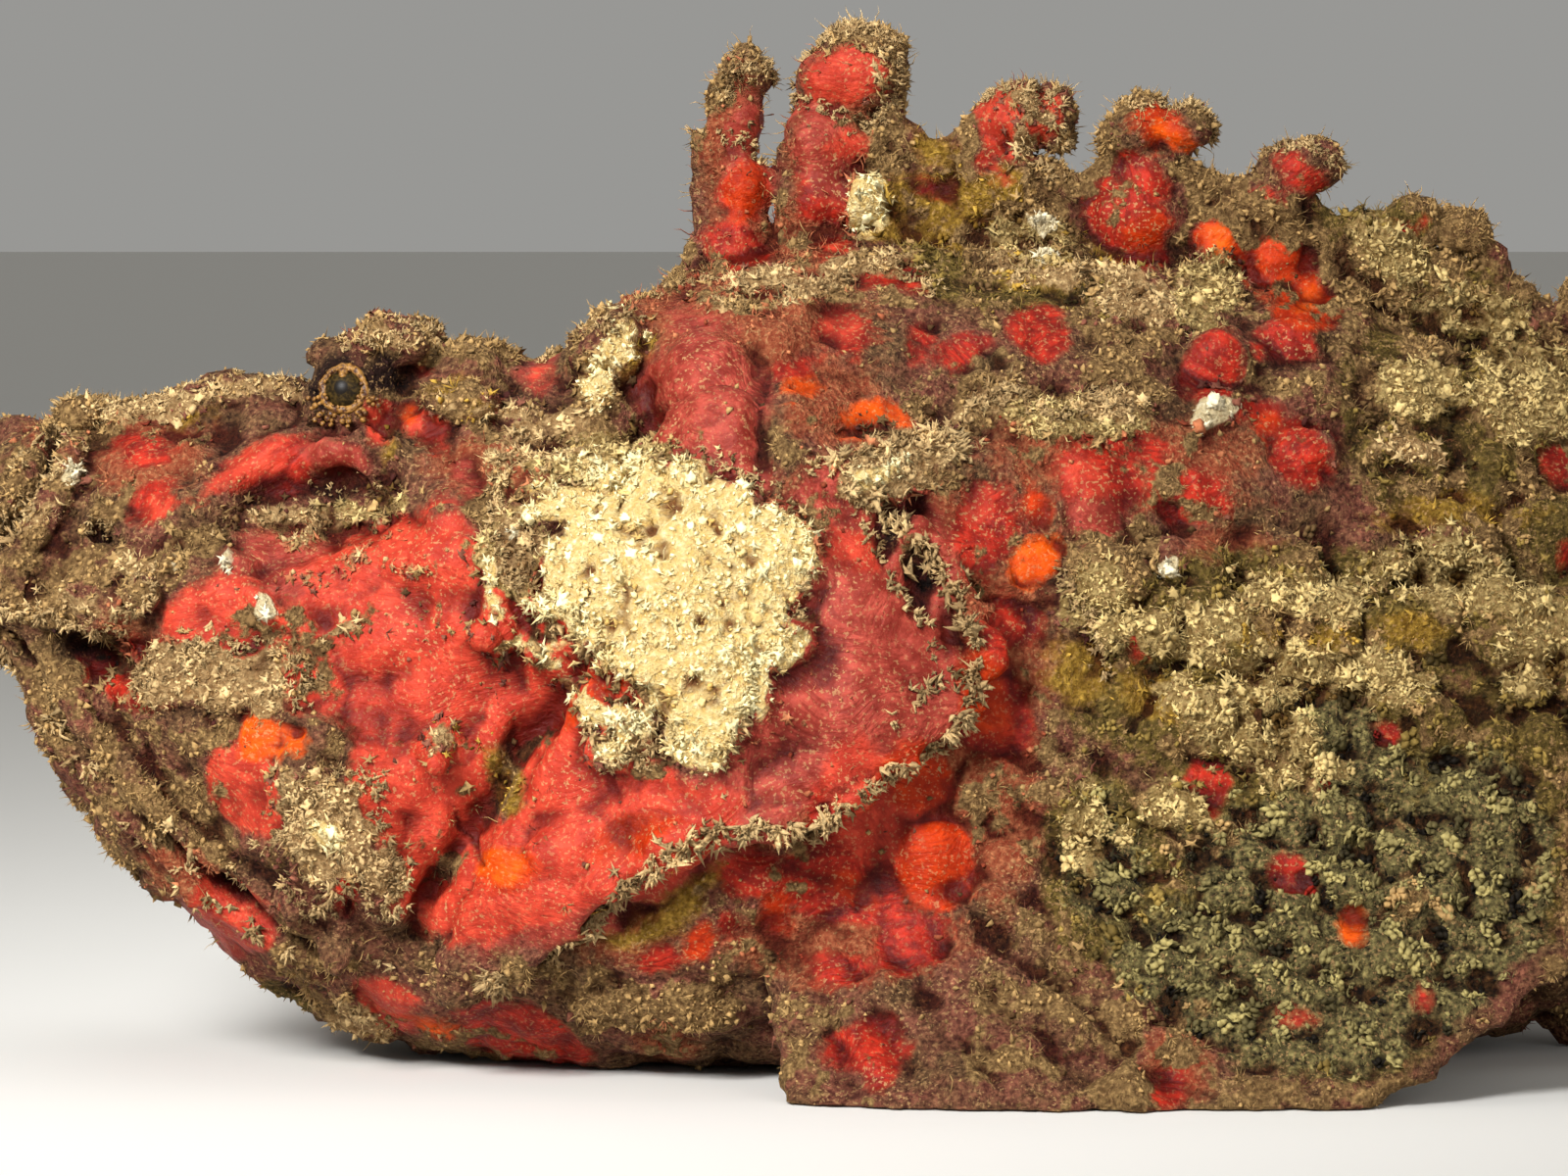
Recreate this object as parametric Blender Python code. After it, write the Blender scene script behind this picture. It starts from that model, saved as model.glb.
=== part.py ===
"""Reef stonefish lying at rest on its belly, life size.

Metres, +Z up. The snout points to -X and the fish's left side faces -Y. The shapes are drawn with x counted from
the tip of the jaw and z from the floor, and the last step moves the origin to the bottom centre of the whole fish.
"""

import math
import random

import bmesh
import bpy
import numpy as np
from mathutils import Matrix, Vector

# Driving sizes of the body, each line as (x, value) from the tip of the jaw
STANDARD_LENGTH = 0.262
BACK_LINE = (
    (0.000, 0.0735), (0.009, 0.0760), (0.016, 0.0792), (0.030, 0.0802), (0.045, 0.0815),
    (0.060, 0.0832), (0.070, 0.0850), (0.080, 0.0902), (0.089, 0.0972), (0.112, 0.1010), (0.142, 0.0990),
    (0.180, 0.0900), (0.218, 0.0750), (STANDARD_LENGTH, 0.0580),
)
BELLY_LINE = (
    (0.000, 0.0590), (0.005, 0.0430), (0.017, 0.0240), (0.034, 0.0090), (0.055, 0.0010),
    (0.080, -0.0012), (0.160, -0.0012), (0.188, 0.0030), (0.225, 0.0140), (STANDARD_LENGTH, 0.0260),
)
HALF_WIDTH = (
    (0.000, 0.0130), (0.008, 0.0225), (0.025, 0.0310), (0.046, 0.0385), (0.070, 0.0440),
    (0.096, 0.0465), (0.122, 0.0425), (0.152, 0.0350), (0.186, 0.0250), (0.222, 0.0145),
    (STANDARD_LENGTH, 0.0060),
)
WIDEST_HEIGHT = (
    (0.000, 0.0660), (0.012, 0.0560), (0.032, 0.0440), (0.060, 0.0400), (0.110, 0.0410), (STANDARD_LENGTH, 0.0420),
)
UPPER_FULLNESS = ((0.000, 2.2), (0.020, 2.6), (0.050, 3.0), (0.075, 2.5), (0.110, 1.8), (STANDARD_LENGTH, 1.7))
LOWER_FULLNESS = ((0.000, 2.0), (0.050, 2.6), (0.100, 3.0), (0.180, 2.6), (STANDARD_LENGTH, 1.9))

# How finely the body is divided
SIDES = 38
CROWDING_ON_TOP = 0.36
RING_SPACING = ((0.012, 0.0024), (0.100, 0.0034), (STANDARD_LENGTH, 0.0085))

# The tail lies curved towards the fish's right side
BEND_START = 0.140
BEND_LENGTH = 0.170
TAIL_SWEEP = 0.026

# Ridges, hollows and swellings of the head and flank: start, end, radius, height above the plain body.
# y counts from the midline, and each is on both sides.
RELIEF = {
    "jaw tip knob": ((0.003, 0.000, 0.0740), (0.005, 0.007, 0.0740), 0.0046, 0.0024),
    "snout crest": ((0.014, 0.011, 0.0795), (0.034, 0.015, 0.0810), 0.0060, 0.0022),
    "cleft between the snout crests": ((0.014, 0.000, 0.0790), (0.038, 0.000, 0.0810), 0.0060, -0.0030),
    "hollow between the eyes": ((0.042, 0.000, 0.0815), (0.062, 0.000, 0.0840), 0.0095, -0.0060),
    "brow crest": ((0.0450, 0.0165, 0.0820), (0.0600, 0.0170, 0.0830), 0.0062, 0.0066),
    "crest behind the brow": ((0.073, 0.0160, 0.0860), (0.080, 0.0150, 0.0890), 0.0052, 0.0048),
    "ridge from snout to eye": ((0.024, 0.0285, 0.0680), (0.038, 0.0290, 0.0760), 0.0042, 0.0034),
    "pit below the eye": ((0.033, 0.0340, 0.0690), (0.046, 0.0370, 0.0690), 0.0058, -0.0062),
    "chin ridge": ((0.004, 0.0120, 0.0600), (0.020, 0.0200, 0.0260), 0.0060, 0.0024),
    "chin furrow": ((0.006, 0.0000, 0.0500), (0.026, 0.0000, 0.0130), 0.0060, -0.0020),
    "cheek ridge": ((0.020, 0.0300, 0.0590), (0.058, 0.0410, 0.0630), 0.0055, 0.0026),
    "pit behind the head": ((0.080, 0.0300, 0.0860), (0.081, 0.0400, 0.0750), 0.0058, -0.0052),
    "shoulder": ((0.092, 0.0330, 0.0870), (0.097, 0.0400, 0.0780), 0.0110, 0.0035),
    "nape": ((0.084, 0.0000, 0.0940), (0.100, 0.0000, 0.1000), 0.0080, 0.0018),
    "preorbital edge": ((0.006, 0.0180, 0.0600), (0.018, 0.0270, 0.0560), 0.0048, 0.0026),
    "gap under the preorbital": ((0.010, 0.0240, 0.0500), (0.020, 0.0290, 0.0540), 0.0036, -0.0030),
    "maxilla": ((0.026, 0.0330, 0.0500), (0.047, 0.0390, 0.0260), 0.0100, 0.0048),
    "fold behind the maxilla": ((0.068, 0.0440, 0.0500), (0.052, 0.0380, 0.0200), 0.0042, -0.0044),
    "cheek": ((0.078, 0.0460, 0.0620), (0.084, 0.0460, 0.0520), 0.0150, 0.0032),
    "groove above the pectoral fin": ((0.128, 0.0400, 0.0640), (0.186, 0.0240, 0.0600), 0.0055, -0.0020),
}

# Warts: how many, and the ranges of their radius and height
WARTS = 110
WART_RADIUS = (0.0036, 0.0062)
WART_HEIGHT = (0.0008, 0.0021)

# The line of the closed mouth from the side, from the top of the snout to the corner, and the jaw's rear edge
MOUTH_LINE = (
    (0.0140, 0.1000), (0.0104, 0.0770), (0.0080, 0.0705), (0.0044, 0.0635), (0.0050, 0.0560),
    (0.0110, 0.0455), (0.0240, 0.0300), (0.0400, 0.0165), (0.0500, 0.0110),
)
JAW_REAR_EDGE = ((0.0560, 0.0040), (0.0600, -0.0200))
LIP_RADIUS = 0.0021
LIP_SPACING = 0.0060

# Where the body parts: each cut as its top and bottom points, seen from the side
NECK_CUT = ((0.0840, 0.1200), (0.0980, -0.0200))
TAIL_CUT = ((0.2050, 0.1200), (0.2050, -0.0200))
SEAM = 0.0003

# Eyes, one on each side
EYE_CENTRE = Vector((0.0448, 0.0226, 0.0828))
EYE_AXIS = Vector((-0.22, 1.0, 0.20)).normalized()
EYEBALL_RADIUS = 0.0036
TURRET_RADIUS = 0.0060
LID_RADIUS = 0.0029
LID_ROLL = 0.0009

# Gill covers: the free rear edge from the top round to the throat, and the line on the cheek where the plate starts
GILL_EDGE = (
    (0.0990, 0.0775), (0.1072, 0.0723), (0.1141, 0.0658), (0.1195, 0.0580), (0.1210, 0.0509), (0.1187, 0.0451),
    (0.1094, 0.0381), (0.0985, 0.0322), (0.0885, 0.0302), (0.0792, 0.0266), (0.0734, 0.0204), (0.0672, 0.0146),
)
COVER_FRONT = (
    (0.0860, 0.0800), (0.0820, 0.0740), (0.0790, 0.0650), (0.0760, 0.0540), (0.0730, 0.0450), (0.0690, 0.0370),
    (0.0650, 0.0300), (0.0610, 0.0240), (0.0585, 0.0180), (0.0570, 0.0110),
)
COVER_LIFT = 0.0058
COVER_EDGE_THICKNESS = 0.0024

# Spiny part of the dorsal fin: where each spine leaves the back, its tip's height above the floor, its thickest
# half-width, and how far up the skin reaches behind it, as a share of the free spine
SPINE_ROOTS = (0.0885, 0.1012, 0.1222, 0.1395, 0.1582, 0.1722, 0.1850, 0.1965, 0.2070, 0.2165, 0.2250, 0.2325)
SPINE_TIPS = (0.1232, 0.1272, 0.1198, 0.1178, 0.1125, 0.1062, 0.1010, 0.0965, 0.0925, 0.0890, 0.0860, 0.0830)
SPINE_WIDTHS = (0.0040, 0.0062, 0.0054, 0.0056, 0.0050, 0.0046, 0.0040, 0.0036, 0.0034, 0.0032, 0.0030, 0.0028)
WEB_SHARES = (0.08, 0.45, 0.47, 0.64, 0.64, 0.60, 0.56, 0.52, 0.50, 0.50, 0.50, 0.20)
SPINE_LEAN = 0.14
FIN_SINK = 0.0050
TRIM_GAP = 0.00035

SEED = 11


def smooth(line, x):
    """Value at x of the smooth line through (x, value) points. It doesn't overshoot them."""
    places = np.array([point[0] for point in line])
    values = np.array([point[1] for point in line])
    step = np.diff(places)
    slope = np.diff(values) / step
    tangent = np.concatenate([[slope[0]], np.zeros(len(slope) - 1), [slope[-1]]])
    for i in range(1, len(slope)):
        if slope[i - 1] * slope[i] > 0:
            tangent[i] = 2 * slope[i - 1] * slope[i] / (slope[i - 1] + slope[i])
    x = min(max(x, places[0]), places[-1])
    i = min(int(np.searchsorted(places, x, side="right")) - 1, len(step) - 1)
    t = (x - places[i]) / step[i]
    return float(
        (2 * t**3 - 3 * t**2 + 1) * values[i]
        + (t**3 - 2 * t**2 + t) * step[i] * tangent[i]
        + (3 * t**2 - 2 * t**3) * values[i + 1]
        + (t**3 - t**2) * step[i] * tangent[i + 1]
    )


def along(points, share):
    """Point of an open chain of points, at a share of its count from 0 to 1, on a smooth curve."""
    last = len(points) - 1
    where = share * last
    numbered = [[(i, point[axis]) for i, point in enumerate(points)] for axis in range(len(points[0]))]
    return tuple(smooth(line, where) for line in numbered)


def bent(point):
    """A point of the straight fish, moved to where the curved tail carries it."""
    x, y, z = point
    past = max(0.0, x - BEND_START)
    sideways = TAIL_SWEEP * (past / BEND_LENGTH) ** 2
    angle = math.atan(2 * TAIL_SWEEP * past / BEND_LENGTH**2)
    return Vector((x - y * math.sin(angle), sideways + y * math.cos(angle), z))


def plain_point(x, turn):
    """Point of the plain body at station x. Turn is 0 on the back, positive towards +Y, and pi on the belly."""
    height = smooth(WIDEST_HEIGHT, x)
    upper = math.cos(turn) >= 0
    power = 2 / smooth(UPPER_FULLNESS if upper else LOWER_FULLNESS, x)
    reach = smooth(BACK_LINE, x) - height if upper else height - smooth(BELLY_LINE, x)
    across, up = math.sin(turn), math.cos(turn)
    return Vector((
        x,
        smooth(HALF_WIDTH, x) * math.copysign(abs(across) ** power, across),
        height + reach * math.copysign(abs(up) ** power, up),
    ))


def turn_at(x, z):
    """The turn, on the +Y side, at which the plain body at station x has height z."""
    height = smooth(WIDEST_HEIGHT, x)
    if z >= height:
        share = min(1.0, (z - height) / (smooth(BACK_LINE, x) - height))
        return math.acos(share ** (smooth(UPPER_FULLNESS, x) / 2))
    share = min(1.0, (height - z) / (height - smooth(BELLY_LINE, x)))
    return math.acos(-(share ** (smooth(LOWER_FULLNESS, x) / 2)))


def wart_places():
    """Centres, radii and heights of the warts, strewn over the back, flanks and cheeks."""
    draw = random.Random(SEED)
    found = []
    for _ in range(WARTS):
        x = draw.uniform(0.012, 0.250)
        turn = draw.choice((-1, 1)) * draw.uniform(0.15, 2.3)
        found.append((plain_point(x, turn), draw.uniform(*WART_RADIUS), draw.uniform(*WART_HEIGHT)))
    return found


def relief_tables():
    """The relief and the warts as arrays: starts, ends, radii and heights."""
    starts, ends, radii, heights = [], [], [], []
    for start, end, radius, height in RELIEF.values():
        for side in (-1, 1):
            if side == 1 and start[1] == 0 and end[1] == 0:
                continue
            starts.append((start[0], side * start[1], start[2]))
            ends.append((end[0], side * end[1], end[2]))
            radii.append(radius)
            heights.append(height)
    for centre, radius, height in wart_places():
        starts.append(tuple(centre))
        ends.append(tuple(centre))
        radii.append(radius)
        heights.append(height)
    return np.array(starts), np.array(ends), np.array(radii), np.array(heights)


RELIEF_TABLES = relief_tables()


def relief_height(point):
    """How far the skin stands off the plain body at a point of it."""
    starts, ends, radii, heights = RELIEF_TABLES
    run = ends - starts
    length = np.maximum((run * run).sum(1), 1e-12)
    share = np.clip(((np.array(point) - starts) * run).sum(1) / length, 0, 1)
    away = np.linalg.norm(np.array(point) - starts - run * share[:, None], axis=1)
    return float((heights * np.exp(-((away / radii) ** 2))).sum())


def skin_frame(x, turn):
    """Point of the skin and its outward direction, before the tail is bent."""
    step = 0.0006
    point = plain_point(x, turn)
    lengthwise = plain_point(x + step, turn) - plain_point(max(x - step, 0), turn)
    around = plain_point(x, turn + 0.02) - plain_point(x, turn - 0.02)
    outward = lengthwise.cross(around).normalized()
    return point + outward * relief_height(point), outward


def skin_at(x, z, side, lift=0.0):
    """Point a lift above the skin at station x and height z, on the side -1 for left or 1 for right."""
    point, outward = skin_frame(x, side * turn_at(x, z))
    return point + outward * lift


def material(name, colour, roughness):
    """A plain Principled material."""
    made = bpy.data.materials.new(name)
    made.use_nodes = True
    shader = made.node_tree.nodes["Principled BSDF"]
    shader.inputs["Base Color"].default_value = (*colour, 1.0)
    shader.inputs["Roughness"].default_value = roughness
    return made


def add_object(name, mesh, collection, finish=None):
    """An object of the mesh, in the collection."""
    made = bpy.data.objects.new(name, mesh)
    collection.objects.link(made)
    if finish:
        mesh.materials.clear()
        mesh.materials.append(finish)
    return made


def closed_mesh(name, points, faces):
    """A mesh of the faces, with its normals pointing out."""
    shape = bmesh.new()
    corners = [shape.verts.new(point) for point in points]
    for face in faces:
        shape.faces.new([corners[i] for i in face])
    bmesh.ops.triangulate(shape, faces=shape.faces)
    bmesh.ops.recalc_face_normals(shape, faces=shape.faces)
    if shape.calc_volume(signed=True) < 0:
        bmesh.ops.reverse_faces(shape, faces=shape.faces)
    made = bpy.data.meshes.new(name)
    shape.to_mesh(made)
    shape.free()
    return made


def lofted(name, rings):
    """A closed mesh through rings of equal count, each end closed by a fan round its middle."""
    sides = len(rings[0])
    points = [point for ring in rings for point in ring]
    faces = []
    for row in range(len(rings) - 1):
        for i in range(sides):
            a, b = row * sides + i, row * sides + (i + 1) % sides
            faces.append((a, b, b + sides, a + sides))
    for ring, first in ((rings[0], 0), (rings[-1], (len(rings) - 1) * sides)):
        middle = len(points)
        points.append(sum(ring, Vector()) / sides)
        faces.extend((first + i, first + (i + 1) % sides, middle) for i in range(sides))
    return closed_mesh(name, points, faces)


def body_mesh():
    """The whole head, trunk and tail stalk as one closed skin."""
    stations, x = [0.0], 0.0
    for end, spacing in RING_SPACING:
        count = round((end - x) / spacing)
        stations.extend(x + (end - x) * (i + 1) / count for i in range(count))
        x = end
    rings = []
    for x in stations:
        even = [2 * math.pi * i / SIDES for i in range(SIDES)]
        rings.append([bent(skin_frame(x, turn - CROWDING_ON_TOP * math.sin(turn))[0]) for turn in even])
    return lofted("body", rings)


def prism(name, outline, collection):
    """A block of the outline, given as (x, z) points, that runs right across the fish."""
    half = 0.2
    shape = bmesh.new()
    face = shape.faces.new([shape.verts.new((x, -half, z)) for x, z in outline])
    pushed = bmesh.ops.extrude_face_region(shape, geom=[face])["geom"]
    bmesh.ops.translate(shape, vec=(0, 2 * half, 0), verts=[v for v in pushed if isinstance(v, bmesh.types.BMVert)])
    bmesh.ops.recalc_face_normals(shape, faces=shape.faces)
    made = bpy.data.meshes.new(name)
    shape.to_mesh(made)
    shape.free()
    return add_object(name, made, collection)


def is_closed(shape):
    """Whether every edge of the shape joins exactly two faces."""
    return len(shape.faces) > 0 and all(len(edge.link_faces) == 2 for edge in shape.edges)


def split_into_triangles(target):
    """Splits the faces that Booleans leave into triangles, so that each edge still joins two of them."""
    for method in ("BEAUTY", "EAR_CLIP"):
        shape = bmesh.new()
        shape.from_mesh(target.data)
        straight = [corner for corner in shape.verts if len(corner.link_edges) == 2]
        bmesh.ops.dissolve_verts(shape, verts=straight)
        bmesh.ops.triangulate(shape, faces=shape.faces, ngon_method=method)
        if is_closed(shape) or method == "EAR_CLIP":
            shape.to_mesh(target.data)
            shape.free()
            return
        shape.free()


def apply_boolean(target, operation, tool):
    """Cuts or joins the target by an object or by a collection, and applies it."""
    change = target.modifiers.new(operation, "BOOLEAN")
    change.operation = operation
    if isinstance(tool, bpy.types.Collection):
        change.operand_type = "COLLECTION"
        change.collection = tool
    else:
        change.object = tool
    change.solver = "MANIFOLD"
    bpy.context.view_layer.update()
    graph = bpy.context.evaluated_depsgraph_get()
    changed = bpy.data.meshes.new_from_object(target.evaluated_get(graph))
    target.modifiers.clear()
    target.data = changed


def drop(*objects):
    """Removes helpers that have done their work."""
    for thing in objects:
        bpy.data.objects.remove(thing)


def keep_largest(target):
    """Drops every closed surface of the target but the one with the most volume."""
    shape = bmesh.new()
    shape.from_mesh(target.data)
    unseen, pieces = set(shape.verts), []
    while unseen:
        stack, piece = [unseen.pop()], []
        while stack:
            corner = stack.pop()
            piece.append(corner)
            for edge in corner.link_edges:
                other = edge.other_vert(corner)
                if other in unseen:
                    unseen.remove(other)
                    stack.append(other)
        low = np.min([tuple(v.co) for v in piece], axis=0)
        high = np.max([tuple(v.co) for v in piece], axis=0)
        pieces.append((float(np.prod(high - low)), piece))
    pieces.sort(key=lambda item: item[0])
    for _, piece in pieces[:-1]:
        bmesh.ops.delete(shape, geom=piece, context="VERTS")
    shape.to_mesh(target.data)
    shape.free()


def fuse(target, meshes):
    """Joins the closed meshes to the target in one union, and keeps one closed surface."""
    group = bpy.data.collections.new("to join")
    bpy.context.scene.collection.children.link(group)
    pieces = [add_object(f"piece {i}", mesh, group) for i, mesh in enumerate(meshes)]
    apply_boolean(target, "UNION", group)
    drop(*pieces)
    bpy.data.collections.remove(group)
    keep_largest(target)


def trim(target, solids, gap=TRIM_GAP):
    """Cuts the target back from each solid, so that it meets it face to face across the gap."""
    for solid in solids:
        shape = bmesh.new()
        shape.from_mesh(solid.data)
        bmesh.ops.remove_doubles(shape, verts=shape.verts, dist=1e-5)
        shape.normal_update()
        for corner in shape.verts:
            corner.co += corner.normal * gap * min(corner.calc_shell_factor(), 1.4)
        swollen = bpy.data.meshes.new("swollen")
        shape.to_mesh(swollen)
        shape.free()
        cutter = add_object("swollen", swollen, solid.users_collection[0])
        apply_boolean(target, "DIFFERENCE", cutter)
        drop(cutter)
    keep_largest(target)


def tapered(root, tip, radius, end_radius, sides=4, flatness=1.0):
    """A tapered cirrus or flap, from the root to the tip. Flatness thins it in the vertical plane of its axis."""
    axis = (tip - root).normalized()
    across = axis.cross(Vector((0, 0, 1))).normalized()
    other = axis.cross(across) * flatness
    rings = []
    for centre, size in ((root, radius), (root.lerp(tip, 0.60), radius * 0.95), (tip, end_radius)):
        turns = [2 * math.pi * k / sides for k in range(sides)]
        rings.append([centre + (across * math.cos(t) + other * math.sin(t)) * size for t in turns])
    return lofted("cirrus", rings)


def ball(centre, radii, axis=Vector((0, 0, 1)), segments=12):
    """An ellipsoid whose third radius lies along the axis."""
    shape = bmesh.new()
    bmesh.ops.create_uvsphere(shape, u_segments=segments, v_segments=segments // 2 + 1, radius=1.0)
    turn = Vector((0, 0, 1)).rotation_difference(axis).to_matrix().to_4x4()
    bmesh.ops.transform(shape, matrix=Matrix.Translation(centre) @ turn @ Matrix.Diagonal((*radii, 1)), verts=shape.verts)
    bmesh.ops.triangulate(shape, faces=shape.faces)
    made = bpy.data.meshes.new("ball")
    shape.to_mesh(made)
    shape.free()
    return made


def ring_roll(centre, axis, radius, roll, around=12, section=5):
    """A torus round the axis."""
    bpy.ops.mesh.primitive_torus_add(
        major_radius=radius, minor_radius=roll, major_segments=around, minor_segments=section
    )
    made = bpy.context.object
    mesh = made.data
    drop(made)
    turn = Vector((0, 0, 1)).rotation_difference(axis).to_matrix().to_4x4()
    mesh.transform(Matrix.Translation(centre) @ turn)
    shape = bmesh.new()
    shape.from_mesh(mesh)
    bmesh.ops.triangulate(shape, faces=shape.faces)
    shape.to_mesh(mesh)
    shape.free()
    return mesh


def swept(points, radius, sides=6):
    """A round roll that follows the points, thinner towards both ends."""
    rings = []
    last = len(points) - 1
    for i, point in enumerate(points):
        heading = (points[min(i + 1, last)] - points[max(i - 1, 0)]).normalized()
        across = heading.cross(point - Vector((0.040, 0, 0.045))).normalized()
        other = heading.cross(across)
        size = radius * (0.45 + 0.55 * min(1.0, i / 3, (last - i) / 3))
        turns = [2 * math.pi * k / sides for k in range(sides)]
        rings.append([point + (across * math.cos(t) + other * math.sin(t)) * size for t in turns])
    return lofted("roll", rings)


def rayed_sheet(roots, tips, rays, rows, root_half, tip_half, web, notch, bow=0.0, bend=False):
    """A fin: rays as ridges along a thin web, between the curve of roots and the curve of tips.

    Roots and tips turn a share from 0 to 1 into a point. Both faces are split into triangles alike.
    """
    columns = 2 * rays + 1
    front, back = [], []
    for j in range(columns):
        share = j / (columns - 1)
        on_ray = j % 2 == 1
        root, tip = roots(share), tips(share)
        low, high = max(share - 0.02, 0), min(share + 0.02, 1)
        across = roots(high) + tips(high) - roots(low) - tips(low)
        facing = (tip - root).cross(across).normalized()
        tip = tip if on_ray else tip.lerp(root, notch)
        for i in range(rows + 1):
            out = i / rows
            half = (root_half + (tip_half - root_half) * out) * (1.0 if on_ray else 1 - (1 - web) * min(1, out * 2.5))
            middle = root.lerp(tip, out) + facing * bow * math.sin(math.pi * out * 0.5)
            front.append(middle + facing * half)
            back.append(middle - facing * half)
    points = front + back
    if bend:
        points = [bent(point) for point in points]
    stride, behind = rows + 1, len(front)
    faces = []
    for j in range(columns - 1):
        for i in range(rows):
            a, b = j * stride + i, j * stride + i + 1
            c, d = b + stride, a + stride
            for start in (0, behind):
                faces.extend(((a + start, b + start, c + start), (a + start, c + start, d + start)))
    rim = [j * stride for j in range(columns)]
    rim += [(columns - 1) * stride + i for i in range(1, rows + 1)]
    rim += [j * stride + rows for j in reversed(range(columns - 1))]
    rim += [i for i in reversed(range(1, rows))]
    for i, a in enumerate(rim):
        b = rim[(i + 1) % len(rim)]
        faces.extend(((a, b, b + behind), (a, b + behind, a + behind)))
    return closed_mesh("fin", points, faces)


def cut_body(parts, cutters):
    """Head, lower jaw, trunk and tail stalk, parted from the whole body by thin cuts."""
    whole = body_mesh()
    jaw_outline = [*MOUTH_LINE, *JAW_REAR_EDGE, (-0.03, -0.02), (-0.03, 0.1)]

    def shifted(cut, by):
        return [(x + by, z) for x, z in cut]

    below = [(x, z) for x, z in reversed(shifted(NECK_CUT, -SEAM / 2))]
    regions = {
        "lower_jaw": jaw_outline,
        "head": [(x + SEAM, z + SEAM) for x, z in (*MOUTH_LINE, *JAW_REAR_EDGE)] + below,
        "trunk": shifted(NECK_CUT, SEAM / 2) + list(reversed(shifted(TAIL_CUT, -SEAM / 2))),
        "tail_stalk": shifted(TAIL_CUT, SEAM / 2) + [(0.3, -0.02), (0.3, 0.12)],
    }
    made = {}
    for name, outline in regions.items():
        part = add_object(name, whole.copy(), parts)
        cutter = prism(f"{name} region", outline, cutters)
        apply_boolean(part, "INTERSECT", cutter)
        drop(cutter)
        keep_largest(part)
        made[name] = part
    return made


def mouth_x(z):
    """Where the closed mouth's line lies at height z."""
    return smooth([(-height, x) for x, height in MOUTH_LINE], -z)


def lip_path(side, away):
    """Points of a lip from one corner of the mouth over the snout to the other.

    The lip runs beside the mouth's line, on its rear side (1) or its front side (-1), measured along the skin.
    """
    fine, outwards = [], []
    for i in range(91):
        turn = 2.3 * (i / 45 - 1)
        low, high = 0.0, 0.056
        for _ in range(24):
            x = (low + high) / 2
            z = plain_point(x, turn).z
            if x < mouth_x(z):
                low = x
            else:
                high = x
        point, outward = skin_frame(max(x, 0.0003), turn)
        fine.append(point)
        outwards.append(outward)
    path = []
    for i, (point, outward) in enumerate(zip(fine, outwards)):
        heading = fine[min(i + 2, 90)] - fine[max(i - 2, 0)]
        beside = heading.cross(outward).normalized()
        if beside.x * side < 0:
            beside = -beside
        moved = point + beside * away
        if not path or (moved - path[-1]).length > LIP_SPACING:
            path.append(moved)
    return path


def add_lips(head, jaw):
    """Rolled lips on both sides of the mouth line, with a fringe of short cirri on each."""
    for target, side in ((head, 1), (jaw, -1)):
        path = lip_path(side, LIP_RADIUS * 0.9 + SEAM)
        pieces = [swept(path, LIP_RADIUS, 5)]
        draw = random.Random(SEED + side)
        for i in range(2, len(path) - 2, 4):
            outward = (path[i] - Vector((0.030, 0, 0.045))).normalized()
            away = (outward + Vector((0.2, 0, 0.6)) * side).normalized()
            length = draw.uniform(0.0034, 0.0050)
            pieces.append(tapered(path[i], path[i] + away * length, 0.0012, 0.0005))
        fuse(target, pieces)


def add_eyes(head, parts, finish):
    """Raised turrets with a rolled lid, the eyeballs in them, and the skin flaps above and below each eye."""
    for side, name in ((-1, "eye_left"), (1, "eye_right")):
        def across(point):
            return Vector((point.x, side * point.y, point.z))

        axis, centre = across(EYE_AXIS), across(EYE_CENTRE)
        rim = centre + axis * 0.0022
        brow = ball(centre + Vector((0.0024, side * -0.0024, 0.0040)), (0.0072, 0.0042, 0.0030), segments=10)
        flap_root = skin_at(0.0480, 0.0765, side)
        flap = ball(flap_root + Vector((-0.0005, side * 0.0010, -0.0022)), (0.0036, 0.0014, 0.0054), segments=8)
        lash_pieces = []
        for k in range(3):
            turn = math.radians(-140 + 50 * k)
            edge = rim + Vector((math.cos(turn), 0, math.sin(turn))) * (LID_RADIUS + 0.0004)
            lash_tip = edge + (edge - centre).normalized() * 0.0026
            lash_pieces.append(tapered(edge - axis * 0.0006, lash_tip, 0.0007, 0.00035, 4))
        turret = ball(centre - axis * 0.0018, (TURRET_RADIUS, TURRET_RADIUS, TURRET_RADIUS * 0.85), axis, 10)
        fuse(head, [turret, ring_roll(rim, axis, LID_RADIUS + 0.0002, LID_ROLL), brow, flap, *lash_pieces])
        socket = add_object("socket", ball(centre, (EYEBALL_RADIUS + SEAM,) * 3, axis, 14), parts)
        apply_boolean(head, "DIFFERENCE", socket)
        drop(socket)
        keep_largest(head)
        add_object(name, ball(centre, (EYEBALL_RADIUS,) * 3, axis, 14), parts, finish)


def add_nostrils(head, cutters):
    """A short open tube on each side of the snout."""
    for side in (-1, 1):
        centre, outward = skin_frame(0.0150, side * turn_at(0.0150, 0.0655))
        fuse(head, [ring_roll(centre + outward * 0.0006, outward, 0.0017, 0.0009, 8, 4)])
        pit = add_object("pit", ball(centre + outward * 0.0008, (0.0010, 0.0010, 0.0028), outward, 6), cutters)
        apply_boolean(head, "DIFFERENCE", pit)
        drop(pit)
        keep_largest(head)


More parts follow.
